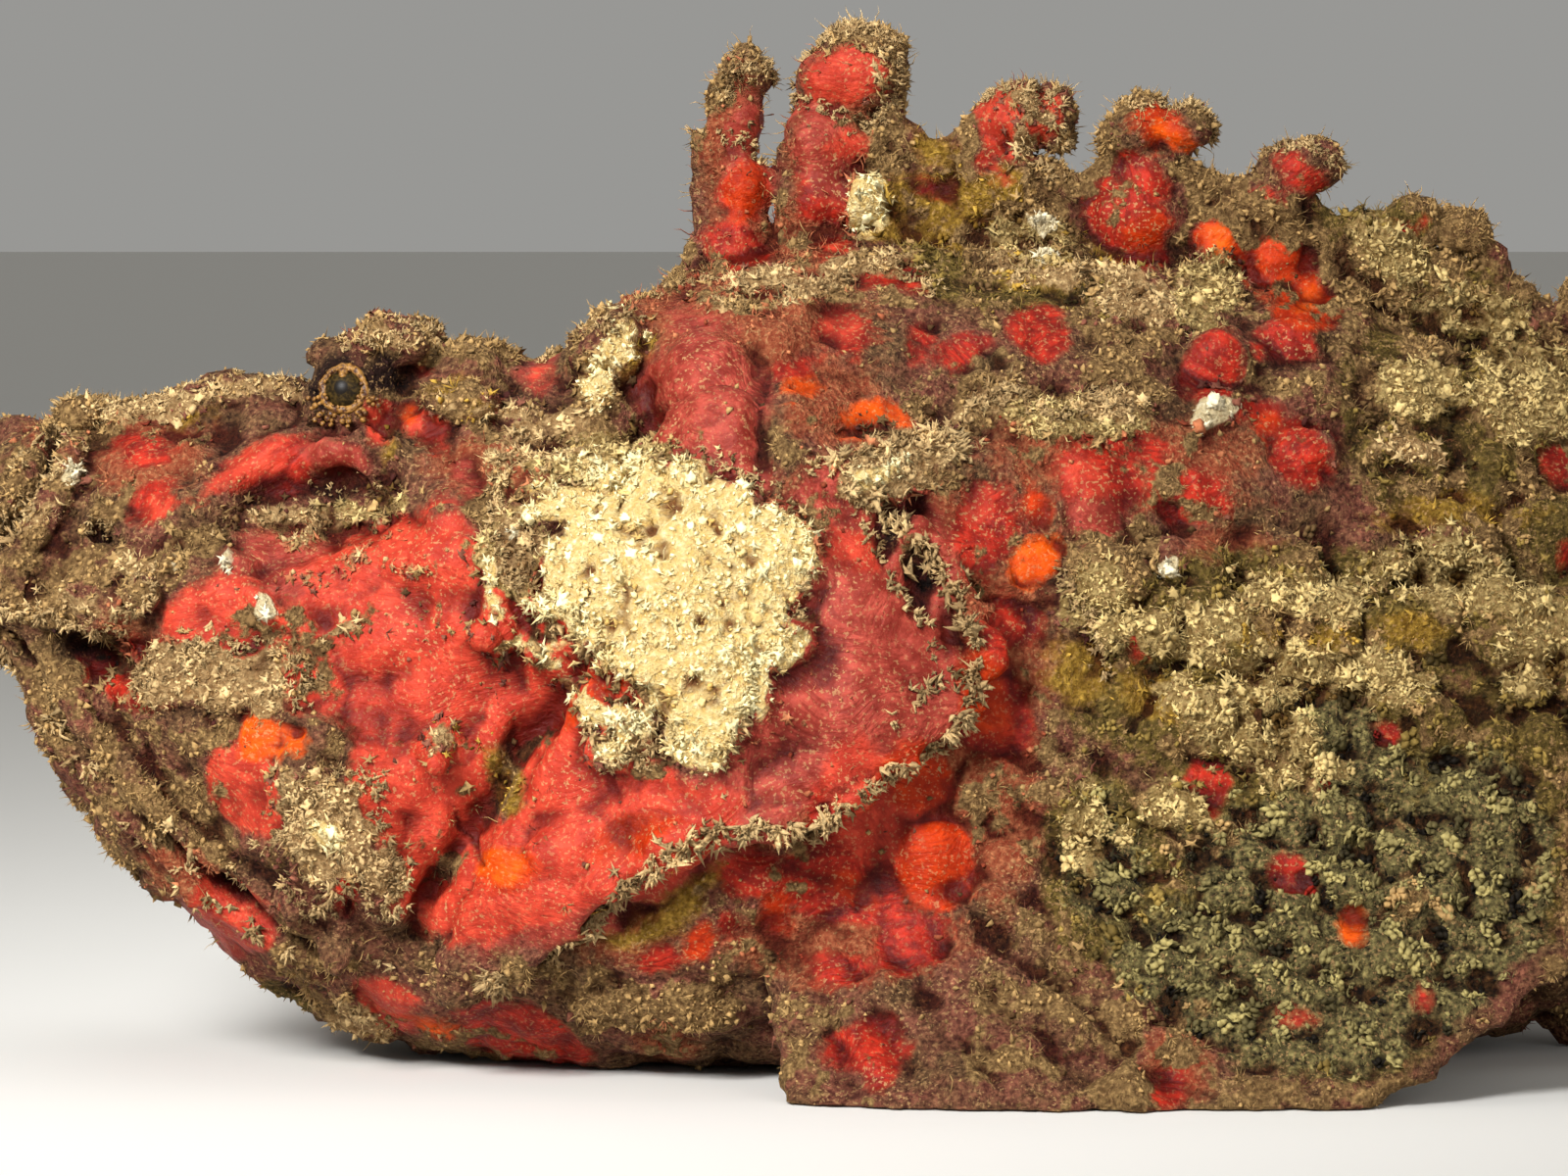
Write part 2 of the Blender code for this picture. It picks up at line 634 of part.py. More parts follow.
def add_head_flaps(head):
    """Fleshy flaps on the crests, the cheek and along the lower end of the maxilla."""
    places = (
        ((0.0590, 0.0800), 0.0040), ((0.0330, 0.0640), 0.0036), ((0.0560, 0.0420), 0.0050), ((0.0440, 0.0185), 0.0056),
        ((0.0395, 0.0240), 0.0044), ((0.0215, 0.0600), 0.0040), ((0.0620, 0.0560), 0.0040),
    )
    pieces = []
    for side in (-1, 1):
        for (x, z), length in places:
            point, outward = skin_frame(x, side * turn_at(x, z))
            lean = (outward * 0.8 + Vector((0.35, 0, -0.75))).normalized()
            pieces.append(tapered(point - outward * 0.0018, point + lean * length, 0.0024, 0.0010, flatness=0.55))
    fuse(head, pieces)


def gill_cover(side, name, parts, finish, flesh):
    """The plate over the gills, lifting towards its free rear edge, which carries a fringe of flaps."""
    rows, columns = 5, 12
    outer, inner = [], []
    for j in range(columns):
        down = j / (columns - 1)
        front, rear = along(COVER_FRONT, down), along(GILL_EDGE, down)
        swell = math.sin(math.pi * (0.12 + 0.80 * down)) ** 0.7
        for i in range(rows + 1):
            back = i / rows
            x, z = front[0] + (rear[0] - front[0]) * back, front[1] + (rear[1] - front[1]) * back
            lift = 0.0016 + COVER_LIFT * swell * back**0.8
            hollow = -0.0012 + (COVER_LIFT * swell - COVER_EDGE_THICKNESS + 0.0012) * max(0.0, back - 0.55) / 0.45
            outer.append(skin_at(x, z, side, lift))
            inner.append(skin_at(x, z, side, min(hollow, lift - 0.0016)))
    stride, behind = rows + 1, len(outer)
    faces = []
    for j in range(columns - 1):
        for i in range(rows):
            a, b = j * stride + i, j * stride + i + 1
            c, d = b + stride, a + stride
            for start in (0, behind):
                faces.extend(((a + start, b + start, c + start), (a + start, c + start, d + start)))
    rim = [j * stride for j in range(columns)] + [(columns - 1) * stride + i for i in range(1, rows + 1)]
    rim += [j * stride + rows for j in reversed(range(columns - 1))] + list(reversed(range(1, rows)))
    for i, a in enumerate(rim):
        b = rim[(i + 1) % len(rim)]
        faces.extend(((a, b, b + behind), (a, b + behind, a + behind)))
    cover = add_object(name, closed_mesh(name, outer + inner, faces), parts, finish)
    pieces = []
    draw = random.Random(SEED + 5)
    flaps = 12
    for k in range(flaps):
        down = 0.06 + 0.86 * k / (flaps - 1)
        x, z = along(GILL_EDGE, down)
        swell = math.sin(math.pi * (0.12 + 0.80 * down)) ** 0.7
        edge, outward = skin_frame(x, side * turn_at(x, z))
        front = along(COVER_FRONT, down)
        rearward = Vector((x - front[0], 0, z - front[1])).normalized()
        root = edge + outward * (0.0016 + COVER_LIFT * swell - 0.0012) - rearward * 0.0022
        tip = root + (rearward + outward * 0.25).normalized() * draw.uniform(0.0045, 0.0068)
        pieces.append(tapered(root, tip, draw.uniform(0.0008, 0.0011), 0.0004, 4))
    fuse(cover, pieces)
    trim(cover, flesh)
    return cover


def spine_mesh(root, tip, width, lumps, rows, sides, draw):
    """A thick, lumpy spine with a swollen tip, flattened from side to side."""
    rings = []
    for i in range(rows + 1):
        share = i / rows
        centre = root.lerp(tip, share)
        swelling = 1.0 + 0.16 * math.sin(2 * math.pi * lumps * share + draw.uniform(-0.4, 0.4))
        closing = math.sqrt(max(0.14, 1 - max(0.0, (share - 0.70) / 0.30) ** 2))
        size = width * (1.0 - 0.18 * share) * swelling * closing
        ring = []
        for k in range(sides):
            turn = 2 * math.pi * k / sides
            ring.append(bent(centre + Vector((math.cos(turn) * size, math.sin(turn) * size * 0.72, 0))))
        rings.append(ring)
    return lofted("spine", rings)


def spiny_dorsal(parts, finish):
    """Twelve thick spines with a thick skin between them, cut deeply between the first two."""
    draw = random.Random(SEED + 1)
    roots, tips = [], []
    for x, z in zip(SPINE_ROOTS, SPINE_TIPS):
        base = smooth(BACK_LINE, x)
        roots.append(Vector((x, 0, base - FIN_SINK)))
        tips.append(Vector((x + (z - base) * SPINE_LEAN, 0, z)))
    web_line = [(roots[0].x - 0.004, -FIN_SINK * 0.3)]
    for k, (root, tip) in enumerate(zip(roots, tips)):
        rise = tip.z - smooth(BACK_LINE, root.x)
        web_line.append((root.x + rise * 0.06, rise * 0.72))
        if k + 1 < len(roots):
            web_line.append(((root.x + roots[k + 1].x) / 2 + 0.001, rise * WEB_SHARES[k]))
    web_line.append((roots[-1].x + 0.004, 0.004))
    first, last = web_line[0][0], web_line[-1][0]

    def web_root(share):
        x = first + (last - first) * share
        return Vector((x, 0, smooth(BACK_LINE, x) - FIN_SINK))

    def web_tip(share):
        x = first + (last - first) * share
        return Vector((x + 0.0010, 0, smooth(BACK_LINE, x) + smooth(web_line, x)))

    web = rayed_sheet(web_root, web_tip, 14, 2, 0.0040, 0.0013, 0.85, 0.0, bend=True)
    fin = add_object("dorsal_fin_spiny", web, parts, finish)
    pieces = []
    for k, (root, tip) in enumerate(zip(roots, tips)):
        large = k < 6
        shape = (7, 6) if large else (4, 5)
        pieces.append(spine_mesh(root, tip, SPINE_WIDTHS[k], 2.4 if large else 1.4, *shape, draw))
        for i in range(1 if large else 0):
            turn = math.pi * (k + 0.5 + draw.uniform(-0.3, 0.3))
            height = draw.uniform(0.72, 0.94)
            out = Vector((math.cos(turn), 0.72 * math.sin(turn), 0.0)) * SPINE_WIDTHS[k] * 0.62
            size = SPINE_WIDTHS[k] * draw.uniform(0.42, 0.55)
            pieces.append(ball(bent(root.lerp(tip, height) + out), (size, size, size * 0.9), segments=6))
    fuse(fin, pieces)
    return fin


def pectoral_fin(side, name, parts, finish):
    """The big fleshy fan behind the gill cover, folded back along the flank with its lower edge on the floor."""
    root_line = ((0.1240, 0.0610), (0.1235, 0.0480), (0.1180, 0.0350), (0.1080, 0.0230), (0.0960, 0.0130))
    tip_line = (
        (0.2060, 0.0400, 0.0590), (0.2090, 0.0450, 0.0440), (0.2010, 0.0510, 0.0290), (0.1885, 0.0570, 0.0160),
        (0.1740, 0.0630, 0.0060), (0.1560, 0.0680, 0.0000), (0.1360, 0.0700, -0.0004), (0.1150, 0.0690, -0.0004),
        (0.0980, 0.0640, -0.0002),
    )

    def roots(share):
        x, z = along(root_line, share)
        return skin_at(x, z, side, -FIN_SINK * 0.8)

    def tips(share):
        x, y, z = along(tip_line, share)
        return Vector((x, side * y, z))

    sheet = rayed_sheet(roots, tips, 15, 5, 0.0036, 0.0014, 0.50, 0.02, bow=-0.0045 * side)
    return add_object(name, sheet, parts, finish)


def pelvic_fin(side, name, parts, finish):
    """The small fan under the breast, spread flat on the floor."""
    def roots(share):
        return Vector((0.1000 + 0.026 * share, side * (0.0150 + 0.0030 * share), 0.0034))

    def tips(share):
        turn = math.radians(78 - 74 * share)
        reach = 0.0285 - 0.0030 * abs(share - 0.6)
        return Vector((0.1090 + reach * math.cos(turn), side * (0.0165 + reach * math.sin(turn)), 0.0008))

    return add_object(name, rayed_sheet(roots, tips, 6, 4, 0.0022, 0.0012, 0.60, 0.10), parts, finish)


def edge_fin(name, parts, finish, line, span, reach, lean, rays, thickness, up, notch=0.10):
    """A fin along the back or the belly line, from its first to its last station."""
    def roots(share):
        x = span[0] + (span[1] - span[0]) * share
        return Vector((x, 0, smooth(line, x) - up * FIN_SINK))

    def tips(share):
        x = span[0] + (span[1] - span[0]) * share
        height = smooth(reach, share)
        return Vector((x + height * lean, 0, smooth(line, x) + up * height))

    sheet = rayed_sheet(roots, tips, rays, 3, *thickness, 0.60, notch, bend=True)
    return add_object(name, sheet, parts, finish)


def tail_fin(name, parts, finish):
    """The rounded tail fin, its rays spread from the end of the stalk."""
    def roots(share):
        return Vector((STANDARD_LENGTH - 0.0050, 0, 0.0560 - 0.0280 * share))

    def tips(share):
        turn = math.radians(31 - 62 * share)
        reach = 0.0530 - 0.0045 * (2 * share - 1) ** 4
        return Vector((0.2560 + reach * math.cos(turn), 0, 0.0420 + 0.0130 * (1 - 2 * share) + reach * math.sin(turn)))

    return add_object(name, rayed_sheet(roots, tips, 12, 3, 0.0036, 0.0011, 0.55, 0.05, bend=True), parts, finish)


def level_with_floor(objects, cutters):
    """Cuts every solid flat at the floor."""
    block = bmesh.new()
    bmesh.ops.create_cube(block, size=1.0)
    bmesh.ops.transform(block, matrix=Matrix.Translation((0.15, 0, -0.05)) @ Matrix.Diagonal((0.6, 0.5, 0.1, 1)),
                        verts=block.verts)
    mesh = bpy.data.meshes.new("under the floor")
    block.to_mesh(mesh)
    block.free()
    floor = add_object("under the floor", mesh, cutters)
    for thing in objects:
        if min(corner.co.z for corner in thing.data.vertices) < 0:
            apply_boolean(thing, "DIFFERENCE", floor)
            keep_largest(thing)
    drop(floor)


def centre_on_floor(objects):
    """Moves the origin to the bottom centre of the whole fish."""
    points = np.array([tuple(corner.co) for thing in objects for corner in thing.data.vertices])
    low, high = points.min(0), points.max(0)
    move = Matrix.Translation((-(low[0] + high[0]) / 2, -(low[1] + high[1]) / 2, -low[2]))
    for thing in objects:
        thing.data.transform(move)


def main():
    for thing in list(bpy.data.objects):
        bpy.data.objects.remove(thing)
    parts = bpy.data.collections.new("stonefish")
    cutters = bpy.data.collections.new("cutters")
    for group in (parts, cutters):
        bpy.context.scene.collection.children.link(group)
    cutters.hide_render = True

    flesh = material("encrusted_skin", (0.52, 0.10, 0.06), 0.75)
    crusted = material("crusted_fin", (0.34, 0.30, 0.16), 0.85)
    eye = material("eyeball", (0.16, 0.10, 0.03), 0.20)

    body = cut_body(parts, cutters)
    for part in body.values():
        part.data.materials.clear()
        part.data.materials.append(flesh)
    head, jaw, trunk, stalk = (body[name] for name in ("head", "lower_jaw", "trunk", "tail_stalk"))
    add_lips(head, jaw)
    trim(jaw, [head], SEAM)
    add_nostrils(head, cutters)
    add_head_flaps(head)
    add_eyes(head, parts, eye)

    covers = [
        gill_cover(side, name, parts, flesh, (head, trunk, jaw))
        for side, name in ((-1, "gill_cover_left"), (1, "gill_cover_right"))
    ]
    dorsal = spiny_dorsal(parts, crusted)
    trim(dorsal, [trunk, stalk, head])
    soft = edge_fin(
        "dorsal_fin_soft", parts, crusted, BACK_LINE, (0.2385, 0.2590),
        ((0.0, 0.0120), (0.35, 0.0175), (0.75, 0.0150), (1.0, 0.0060)), 0.55, 6, (0.0026, 0.0011), 1,
    )
    anal = edge_fin(
        "anal_fin", parts, crusted, BELLY_LINE, (0.1920, 0.2500),
        ((0.0, 0.0030), (0.25, 0.0090), (0.60, 0.0165), (0.85, 0.0185), (1.0, 0.0090)), 0.45, 9, (0.0028, 0.0012), -1,
    )
    caudal = tail_fin("caudal_fin", parts, crusted)
    for fin in (soft, anal, caudal):
        trim(fin, [stalk, trunk])
    trim(soft, [dorsal, caudal])
    for side, word, cover in ((-1, "left", covers[0]), (1, "right", covers[1])):
        pectoral = pectoral_fin(side, f"pectoral_fin_{word}", parts, crusted)
        trim(pectoral, [trunk, head, cover])
        pelvic = pelvic_fin(side, f"pelvic_fin_{word}", parts, crusted)
        trim(pelvic, [trunk, head, pectoral])

    level_with_floor(list(parts.objects), cutters)
    centre_on_floor(list(parts.objects))
    for thing in parts.objects:
        split_into_triangles(thing)
        thing.data.shade_smooth()
        thing.data.set_sharp_from_angle(angle=math.radians(50))


main()
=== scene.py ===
"""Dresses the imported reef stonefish: one skin, its eyes, crusts, cirri and granules, on a pale floor.

Metres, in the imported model's own frame: the snout points to -X, the fish's left side faces -Y, and +Z is
up. Sizes named with mm are in millimetres. Places on the head and flank are given as the camera sees them,
in pixels of a picture of 1600 by 1200, and a line of sight through each finds its point on the fish.
"""

import math

import bmesh
import bpy
import numpy as np
from bpy.props import FloatProperty, FloatVectorProperty, IntProperty, PointerProperty
from mathutils import Matrix, Vector, noise
from mathutils.bvhtree import BVHTree


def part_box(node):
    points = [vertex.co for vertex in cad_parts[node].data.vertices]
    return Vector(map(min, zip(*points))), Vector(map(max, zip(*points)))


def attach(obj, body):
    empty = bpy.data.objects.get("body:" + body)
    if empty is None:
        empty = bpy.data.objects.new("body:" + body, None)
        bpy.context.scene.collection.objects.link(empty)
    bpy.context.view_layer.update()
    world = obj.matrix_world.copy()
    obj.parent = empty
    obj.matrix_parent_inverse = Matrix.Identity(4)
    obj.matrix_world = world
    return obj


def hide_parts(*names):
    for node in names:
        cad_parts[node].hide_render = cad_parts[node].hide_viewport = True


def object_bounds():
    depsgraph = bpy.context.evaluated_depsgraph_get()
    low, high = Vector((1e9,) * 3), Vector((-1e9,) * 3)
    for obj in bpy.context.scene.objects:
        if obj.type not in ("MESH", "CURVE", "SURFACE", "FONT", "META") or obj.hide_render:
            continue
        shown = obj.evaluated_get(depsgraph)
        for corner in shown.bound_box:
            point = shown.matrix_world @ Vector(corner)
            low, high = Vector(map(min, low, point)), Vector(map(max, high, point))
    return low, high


bl_info = {
    "name": "Reef stonefish",
    "version": (1, 0, 0),
    "blender": (4, 5, 0),
    "location": "View3D > Sidebar > Stonefish",
    "description": "Skin, eyes, crusts and cirri of a life-size reef stonefish",
    "category": "Object",
}

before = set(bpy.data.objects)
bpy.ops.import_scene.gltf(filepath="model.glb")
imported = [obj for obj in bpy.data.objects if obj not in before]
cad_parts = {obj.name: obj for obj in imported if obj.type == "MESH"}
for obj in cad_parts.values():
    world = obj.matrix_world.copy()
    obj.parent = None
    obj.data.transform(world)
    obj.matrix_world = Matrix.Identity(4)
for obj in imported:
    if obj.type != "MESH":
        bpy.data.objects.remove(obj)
CAD_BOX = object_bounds()

MM = 0.001
BODY = "root"
EYES = ("eye_left", "eye_right")
FINS = (
    "caudal_fin", "dorsal_fin_spiny", "dorsal_fin_soft", "anal_fin",
    "pectoral_fin_left", "pectoral_fin_right", "pelvic_fin_left", "pelvic_fin_right",
)
FLESH = tuple(sorted(set(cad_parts) - set(EYES)))

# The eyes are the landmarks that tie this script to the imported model
EYE_FROM_JAW_TIP = 0.0448
EYE_ABOVE_FLOOR = 0.0828
EYE_CENTRE = (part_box("eye_left")[0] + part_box("eye_left")[1]) / 2
EYE_AXIS = Vector((-0.22, -1.0, 0.20)).normalized()
JAW_TIP_X = EYE_CENTRE.x - EYE_FROM_JAW_TIP
FLOOR_Z = EYE_CENTRE.z - EYE_ABOVE_FLOOR
EYEBALL_RADIUS = 0.0036
RIM_RADIUS_MM = 2.6
EYE_CLEAR_MM = 4.6
CORNEA_RADIUS_MM = 2.4
CORNEA_RISE_MM = 0.35
BEHIND_EYE_MM = 9.0
RIM_BEADS = 44
RIM_TASSELS = 11

# The tail's curve to the right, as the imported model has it
BEND_START = 0.140
BEND_LENGTH = 0.170
TAIL_SWEEP = 0.026

# The camera: level with the head, its picture 192 mm wide where the flank is
PICTURE_WIDTH = 1600
PICTURE_HEIGHT = 1200
MM_PER_PIXEL = 0.12
VIEW_WIDTH = 0.192
VIEW_DISTANCE = 0.9
VIEW_ELEVATION = 3.0
SENSOR_WIDTH = 36.0
VIEW_TARGET = Vector((JAW_TIP_X + 0.0978, -0.020, FLOOR_Z + 0.0588))

# The closed mouth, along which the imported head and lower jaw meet
MOUTH_CORNER_X = JAW_TIP_X + 0.052
MOUTH_CORNER_Z = FLOOR_Z + 0.013
FAR_FROM_MOUTH_MM = 50.0
MOUTH_WANDER_MM = 0.6
MOUTH_WIDTH_MM = 1.5
MOUTH_DEPTH_MM = 3.6
LIP_FROM_MOUTH_MM = 3.3
LIP_WIDTH_MM = 1.5
LIP_RISE_MM = 1.7

# Patches of living crust, and of painted shade (the dark kind), as name: (pixel across, pixel down, half
# length mm, half height mm, turn degrees)
PATCHES = {
    "veil": {
        "nape": (760, 350, 13, 5.0, 6), "upper cheek": (350, 560, 14, 4.0, -4),
        "flank": (850, 410, 7, 6, 0), "above the fin": (1150, 470, 20, 7.0, 0),
        "upper nape": (760, 322, 18, 6.4, 0), "fin top": (1250, 560, 8.0, 3.4, 0),
        "behind the gill cover": (1030, 660, 7, 12, 0), "breast": (860, 960, 17, 6.0, 0),
        "throat": (640, 960, 10, 4.0, 0), "snout": (150, 460, 10, 6.0, 0),
        "cheek to the crest": (500, 480, 9, 5.0, 0), "spine feet": (800, 240, 8, 5.0, 0),
        "lip": (45, 455, 5, 2.6, 0), "first spine": (750, 150, 4, 13, 0),
        "second spine": (845, 150, 6, 13, 0), "fin root": (1010, 800, 7, 16, 0),
        "mouth corner": (150, 650, 9, 3.4, -20), "flank foot": (1180, 500, 14, 4.6, 0),
        "cover": (880, 640, 18, 22, 0), "cover foot": (760, 830, 20, 7.0, 20),
    },
    "green": {
        "fin top": (1340, 630, 30, 9.0, 0), "rear flank": (1490, 420, 17, 15, -20),
        "fin middle": (1330, 740, 30, 10, -4), "fin foot": (1400, 880, 26, 13, -8),
        "fin end": (1570, 700, 9.0, 22, 0), "fin front foot": (1125, 890, 9.0, 12, 10),
        "fin lowest": (1290, 1000, 22, 10, -20), "rear web": (1440, 270, 15, 7.0, -24),
        "tail": (1700, 560, 26, 22, 0), "web": (1040, 270, 18, 6.0, -6),
    },
    "pale": {
        "fin foot": (1370, 890, 22, 10, -4), "fin end": (1510, 880, 10, 15, 0),
        "fin middle": (1340, 760, 14, 7.0, -20), "fin lowest": (1290, 1010, 20, 9.0, -16),
        "fin low end": (1450, 980, 13, 9.0, 30), "fin front": (1120, 880, 6.0, 8.0, 0),
    },
    "ochre": {
        "throat": (640, 925, 11, 5.0, 14), "throat rear": (720, 885, 8.0, 3.6, 4),
        "web": (1000, 235, 15, 5.4, -22), "web flap": (905, 215, 4.4, 3.4, -30),
        "web top": (1020, 200, 5.0, 4.0, 0), "web front": (895, 215, 4.6, 4.0, -40),
        "fin": (1180, 715, 6.0, 3.6, -30), "fin front": (1100, 690, 4.0, 5.0, 0),
        "fin middle": (1290, 645, 6.0, 2.4, -14), "fold": (505, 790, 2.8, 13, 34),
        "dome behind the eye": (470, 408, 4.6, 2.6, -4), "snout top": (200, 425, 3.4, 2.0, 20),
        "web line": (950, 130, 1.8, 5.2, 24), "fin hollow": (1440, 640, 6.0, 3.4, 0),
        "opening": (905, 560, 3.0, 3.6, 0), "second fin hollow": (1350, 650, 5.0, 2.6, 0),
        "rear flank": (1480, 520, 12, 3.0, 0), "crest flap": (655, 370, 1.6, 5.0, -10),
        "web struts": (1110, 245, 6.0, 2.0, -20), "smooth flap": (403, 466, 1.4, 3.4, 0),
    },
    "crimson": {
        "upper snout": (150, 455, 6.0, 2.4, 10), "snout": (155, 508, 5.0, 2.6, 10),
        "behind the ridge": (300, 470, 5.0, 3.4, 30), "behind the shoulder": (800, 375, 4.4, 2.4, 0),
        "gill slit": (1040, 640, 5.0, 4.0, -20), "fin root": (1015, 720, 5.0, 9.0, 10),
        "fin root foot": (930, 960, 5.4, 5.4, 0), "fin spot": (1405, 745, 3.0, 2.4, 0),
        "fin middle spot": (1228, 805, 3.6, 3.4, 20), "fin lower spot": (1322, 890, 3.0, 3.2, 0),
        "fin rear spot": (1340, 800, 2.0, 1.6, 0), "fin foot spot": (1322, 1040, 2.6, 1.6, 0),
        "breast foot": (860, 985, 6.0, 2.6, 0), "breast": (770, 895, 4.4, 3.4, 0),
        "breast spot": (753, 940, 2.6, 2.2, 0), "throat spot": (683, 975, 3.0, 3.0, 0),
        "snout shade": (120, 690, 8.0, 3.0, -20), "lip hole": (350, 915, 2.6, 3.2, 0),
        "pit under the eye": (280, 492, 6.0, 2.6, 14), "web shade": (905, 285, 5.0, 2.4, 0),
        "first spine foot": (750, 252, 5.0, 4.2, 0), "second spine foot": (838, 200, 3.6, 3.6, 0),
        "web spot": (852, 258, 3.6, 2.4, 0), "third spine": (1003, 163, 2.2, 1.8, 0),
        "web": (968, 192, 2.2, 2.0, 0), "fourth spine": (1170, 178, 3.6, 3.6, 0),
        "fourth spine foot": (1150, 220, 5.4, 4.2, -20), "fourth spine root": (1165, 258, 4.4, 2.8, 0),
        "fifth spine top": (1325, 172, 5.0, 2.4, -12), "web above the flank": (1292, 205, 3.6, 1.8, -10),
        "high flank": (1238, 375, 5.2, 5.0, 0), "high rear flank": (1312, 350, 4.8, 3.6, -20),
        "rear flank": (1330, 462, 5.6, 3.8, -30), "rear flank foot": (1285, 430, 4.6, 2.4, -20),
        "flank": (1120, 505, 7.4, 5.0, 0), "flank behind": (1215, 510, 6.0, 4.4, 0),
        "flank spot": (1190, 473, 2.2, 1.8, 0), "flank below the web": (1058, 332, 5.0, 3.8, 0),
        "flank line": (935, 350, 2.4, 4.2, 0), "flank streak": (985, 362, 4.6, 3.2, 0),
        "upper flank": (860, 340, 5.4, 3.0, -20), "opening": (1000, 545, 4.6, 6.0, 0),
        "tail side": (1592, 480, 3.2, 4.0, 0), "tail side spot": (1594, 570, 2.0, 2.4, 0),
        "beneath the gill cover": (880, 830, 8.0, 10, 30), "breast shade": (860, 900, 9.0, 5.0, 0),
        "sixth spine": (1455, 222, 2.2, 1.4, 0), "cheek": (150, 655, 4.0, 2.4, 0),
        "mid flank": (1150, 460, 7.0, 3.0, 0), "fin rear low spot": (1450, 1020, 2.4, 2.0, 0),
        "fin top spot": (1170, 660, 2.4, 2.4, 0),
    },
    "rose": {
        "upper nape": (715, 325, 5.0, 3.0, 0), "above the fin": (1105, 540, 5.4, 3.4, 0),
        "rear gill cover": (870, 640, 14, 19, -8), "corner of the gill cover": (930, 700, 7.4, 10, 0),
        "upper gill cover": (860, 530, 9, 8, -30), "gill cover": (830, 740, 14, 9.0, 0),
        "shoulder": (716, 425, 9.0, 10.5, -12), "shoulder edge": (760, 480, 4.6, 3, 0),
        "lower gill cover": (700, 845, 18, 7.6, 24), "foot of the gill cover": (565, 925, 15, 6.4, 16),
        "crest spot": (555, 375, 3.8, 3.0, 30), "above the cheek": (456, 535, 4.0, 3.4, 0),
        "small cheek spot": (478, 495, 2.6, 2.6, 0), "first spine": (757, 150, 3.4, 9.0, 0),
        "second spine": (842, 150, 4.6, 9.0, 10), "upper cheek": (330, 575, 16, 4.0, 4),
        "eye flap": (345, 470, 4.6, 3.6, -10), "flap tip": (375, 482, 1.6, 2.2, 0),
    },
    "red": {
        "upper cheek": (430, 590, 17, 6.6, 4), "cheek": (440, 660, 20, 12.5, 0),
        "front of the cheek": (235, 635, 8.6, 5.4, 12), "maxilla": (425, 780, 8, 16, 12),
        "lower maxilla": (520, 895, 14, 8.6, 22), "behind the fold": (590, 760, 9.6, 12, 20),
        "lower gill cover": (660, 860, 14, 6.4, 26), "foot of the gill cover": (500, 915, 7.0, 4.0, 16),
        "snout": (165, 512, 3.4, 1.6, 10), "snout ridge": (258, 478, 8.4, 2.2, 35),
        "spot under the lid": (395, 437, 2.4, 2.8, 0), "behind the eye": (435, 440, 2.8, 2.4, -50),
        "behind the eye, lower": (450, 462, 2.2, 1.4, -30), "spot on the brow": (438, 383, 1.8, 1.3, 0),
        "spot behind the dome": (508, 420, 1.8, 1.8, 0), "crest spot": (560, 382, 2.4, 1.8, 30),
        "above the cheek": (452, 533, 2.8, 2.4, 0), "first spine": (755, 195, 2.8, 4.0, 0),
        "first spine foot": (752, 262, 3.2, 2.4, 0), "second spine top": (866, 78, 6.4, 4.0, -8),
        "second spine knob": (872, 147, 2.6, 2.2, 0), "third spine top": (1034, 122, 5.4, 5.0, 20),
        "third spine": (1008, 165, 1.6, 1.4, 0), "web spot": (850, 262, 2.4, 1.6, 0),
        "flank spot": (1100, 500, 4.0, 3.0, 0), "opening": (990, 520, 2.8, 3.0, 0),
        "beneath the gill cover": (890, 810, 6.0, 9.0, 30), "chin": (250, 800, 6.0, 6.0, 0),
        "upper nape": (862, 332, 4.0, 2.8, 0),
        "gill cover spot": (870, 560, 5.0, 3.0, 0), "lower cheek fold": (640, 805, 7.0, 5.0, 30),
    },
    "ember": {
        "breast": (958, 882, 5.8, 5.4, 0), "cheek fold": (610, 700, 7.0, 3.0, 34),
        "gill cover foot": (640, 850, 6.0, 2.6, 30), "fin root": (1004, 700, 3.6, 8.0, 16),
        "beneath the gill cover": (940, 790, 5.0, 6.4, 34), "fourth spine top": (1188, 130, 4.4, 2.8, -14),
        "web front": (1243, 246, 3.8, 3.6, 0), "web": (1290, 275, 5.8, 3.6, -34),
        "web foot": (1325, 305, 4.4, 4.2, 0), "rear flank": (1290, 440, 3.0, 2.0, -20),
        "breast foot": (720, 960, 3.0, 3.0, 0), "throat front": (800, 930, 2.4, 3.4, 0),
        "maxilla foot": (515, 890, 5.0, 3.6, 20), "first spine": (760, 192, 2.6, 4.0, 0),
        "opening streak": (1045, 525, 2.2, 4.2, 14),
        "breast front": (870, 900, 3.8, 3.0, 0), "fourth spine foot": (1165, 235, 3.2, 2.6, 0),
    },
    "orange": {
        "cheek spot": (275, 752, 4.4, 3.8, -10), "flank spot": (1055, 578, 3.6, 3.0, 0),
        "web": (1240, 245, 2.2, 2.0, 0), "maxilla foot": (508, 885, 4.0, 3.0, 20),
        "web foot": (1330, 300, 2.0, 1.8, 0), "flank streak": (898, 430, 5.6, 2.0, 6),
        "fourth spine top": (1205, 130, 2.0, 1.6, 0), "fin foot spot": (1375, 938, 2.4, 2.0, 0),
        "upper flank": (812, 398, 3.0, 2.0, 0), "behind the eye": (420, 432, 1.2, 1.2, 0),
    },
    "grey": {
        "snout": (90, 612, 5.0, 1.6, -10), "upper lip": (35, 520, 4.0, 1.6, 10),
        "snout crust": (130, 585, 2.6, 1.8, -20), "snout top": (120, 425, 6.5, 1.6, 20),
        "between the eyes": (230, 400, 10, 1.8, 8), "brow": (400, 346, 5.0, 1.2, 4),
        "crest": (500, 336, 6.0, 1.2, -8), "under the pit": (300, 530, 9.0, 1.8, 4),
        "chin plate": (205, 690, 12, 4.8, -8), "maxilla plate": (330, 845, 5.8, 8.0, 28),
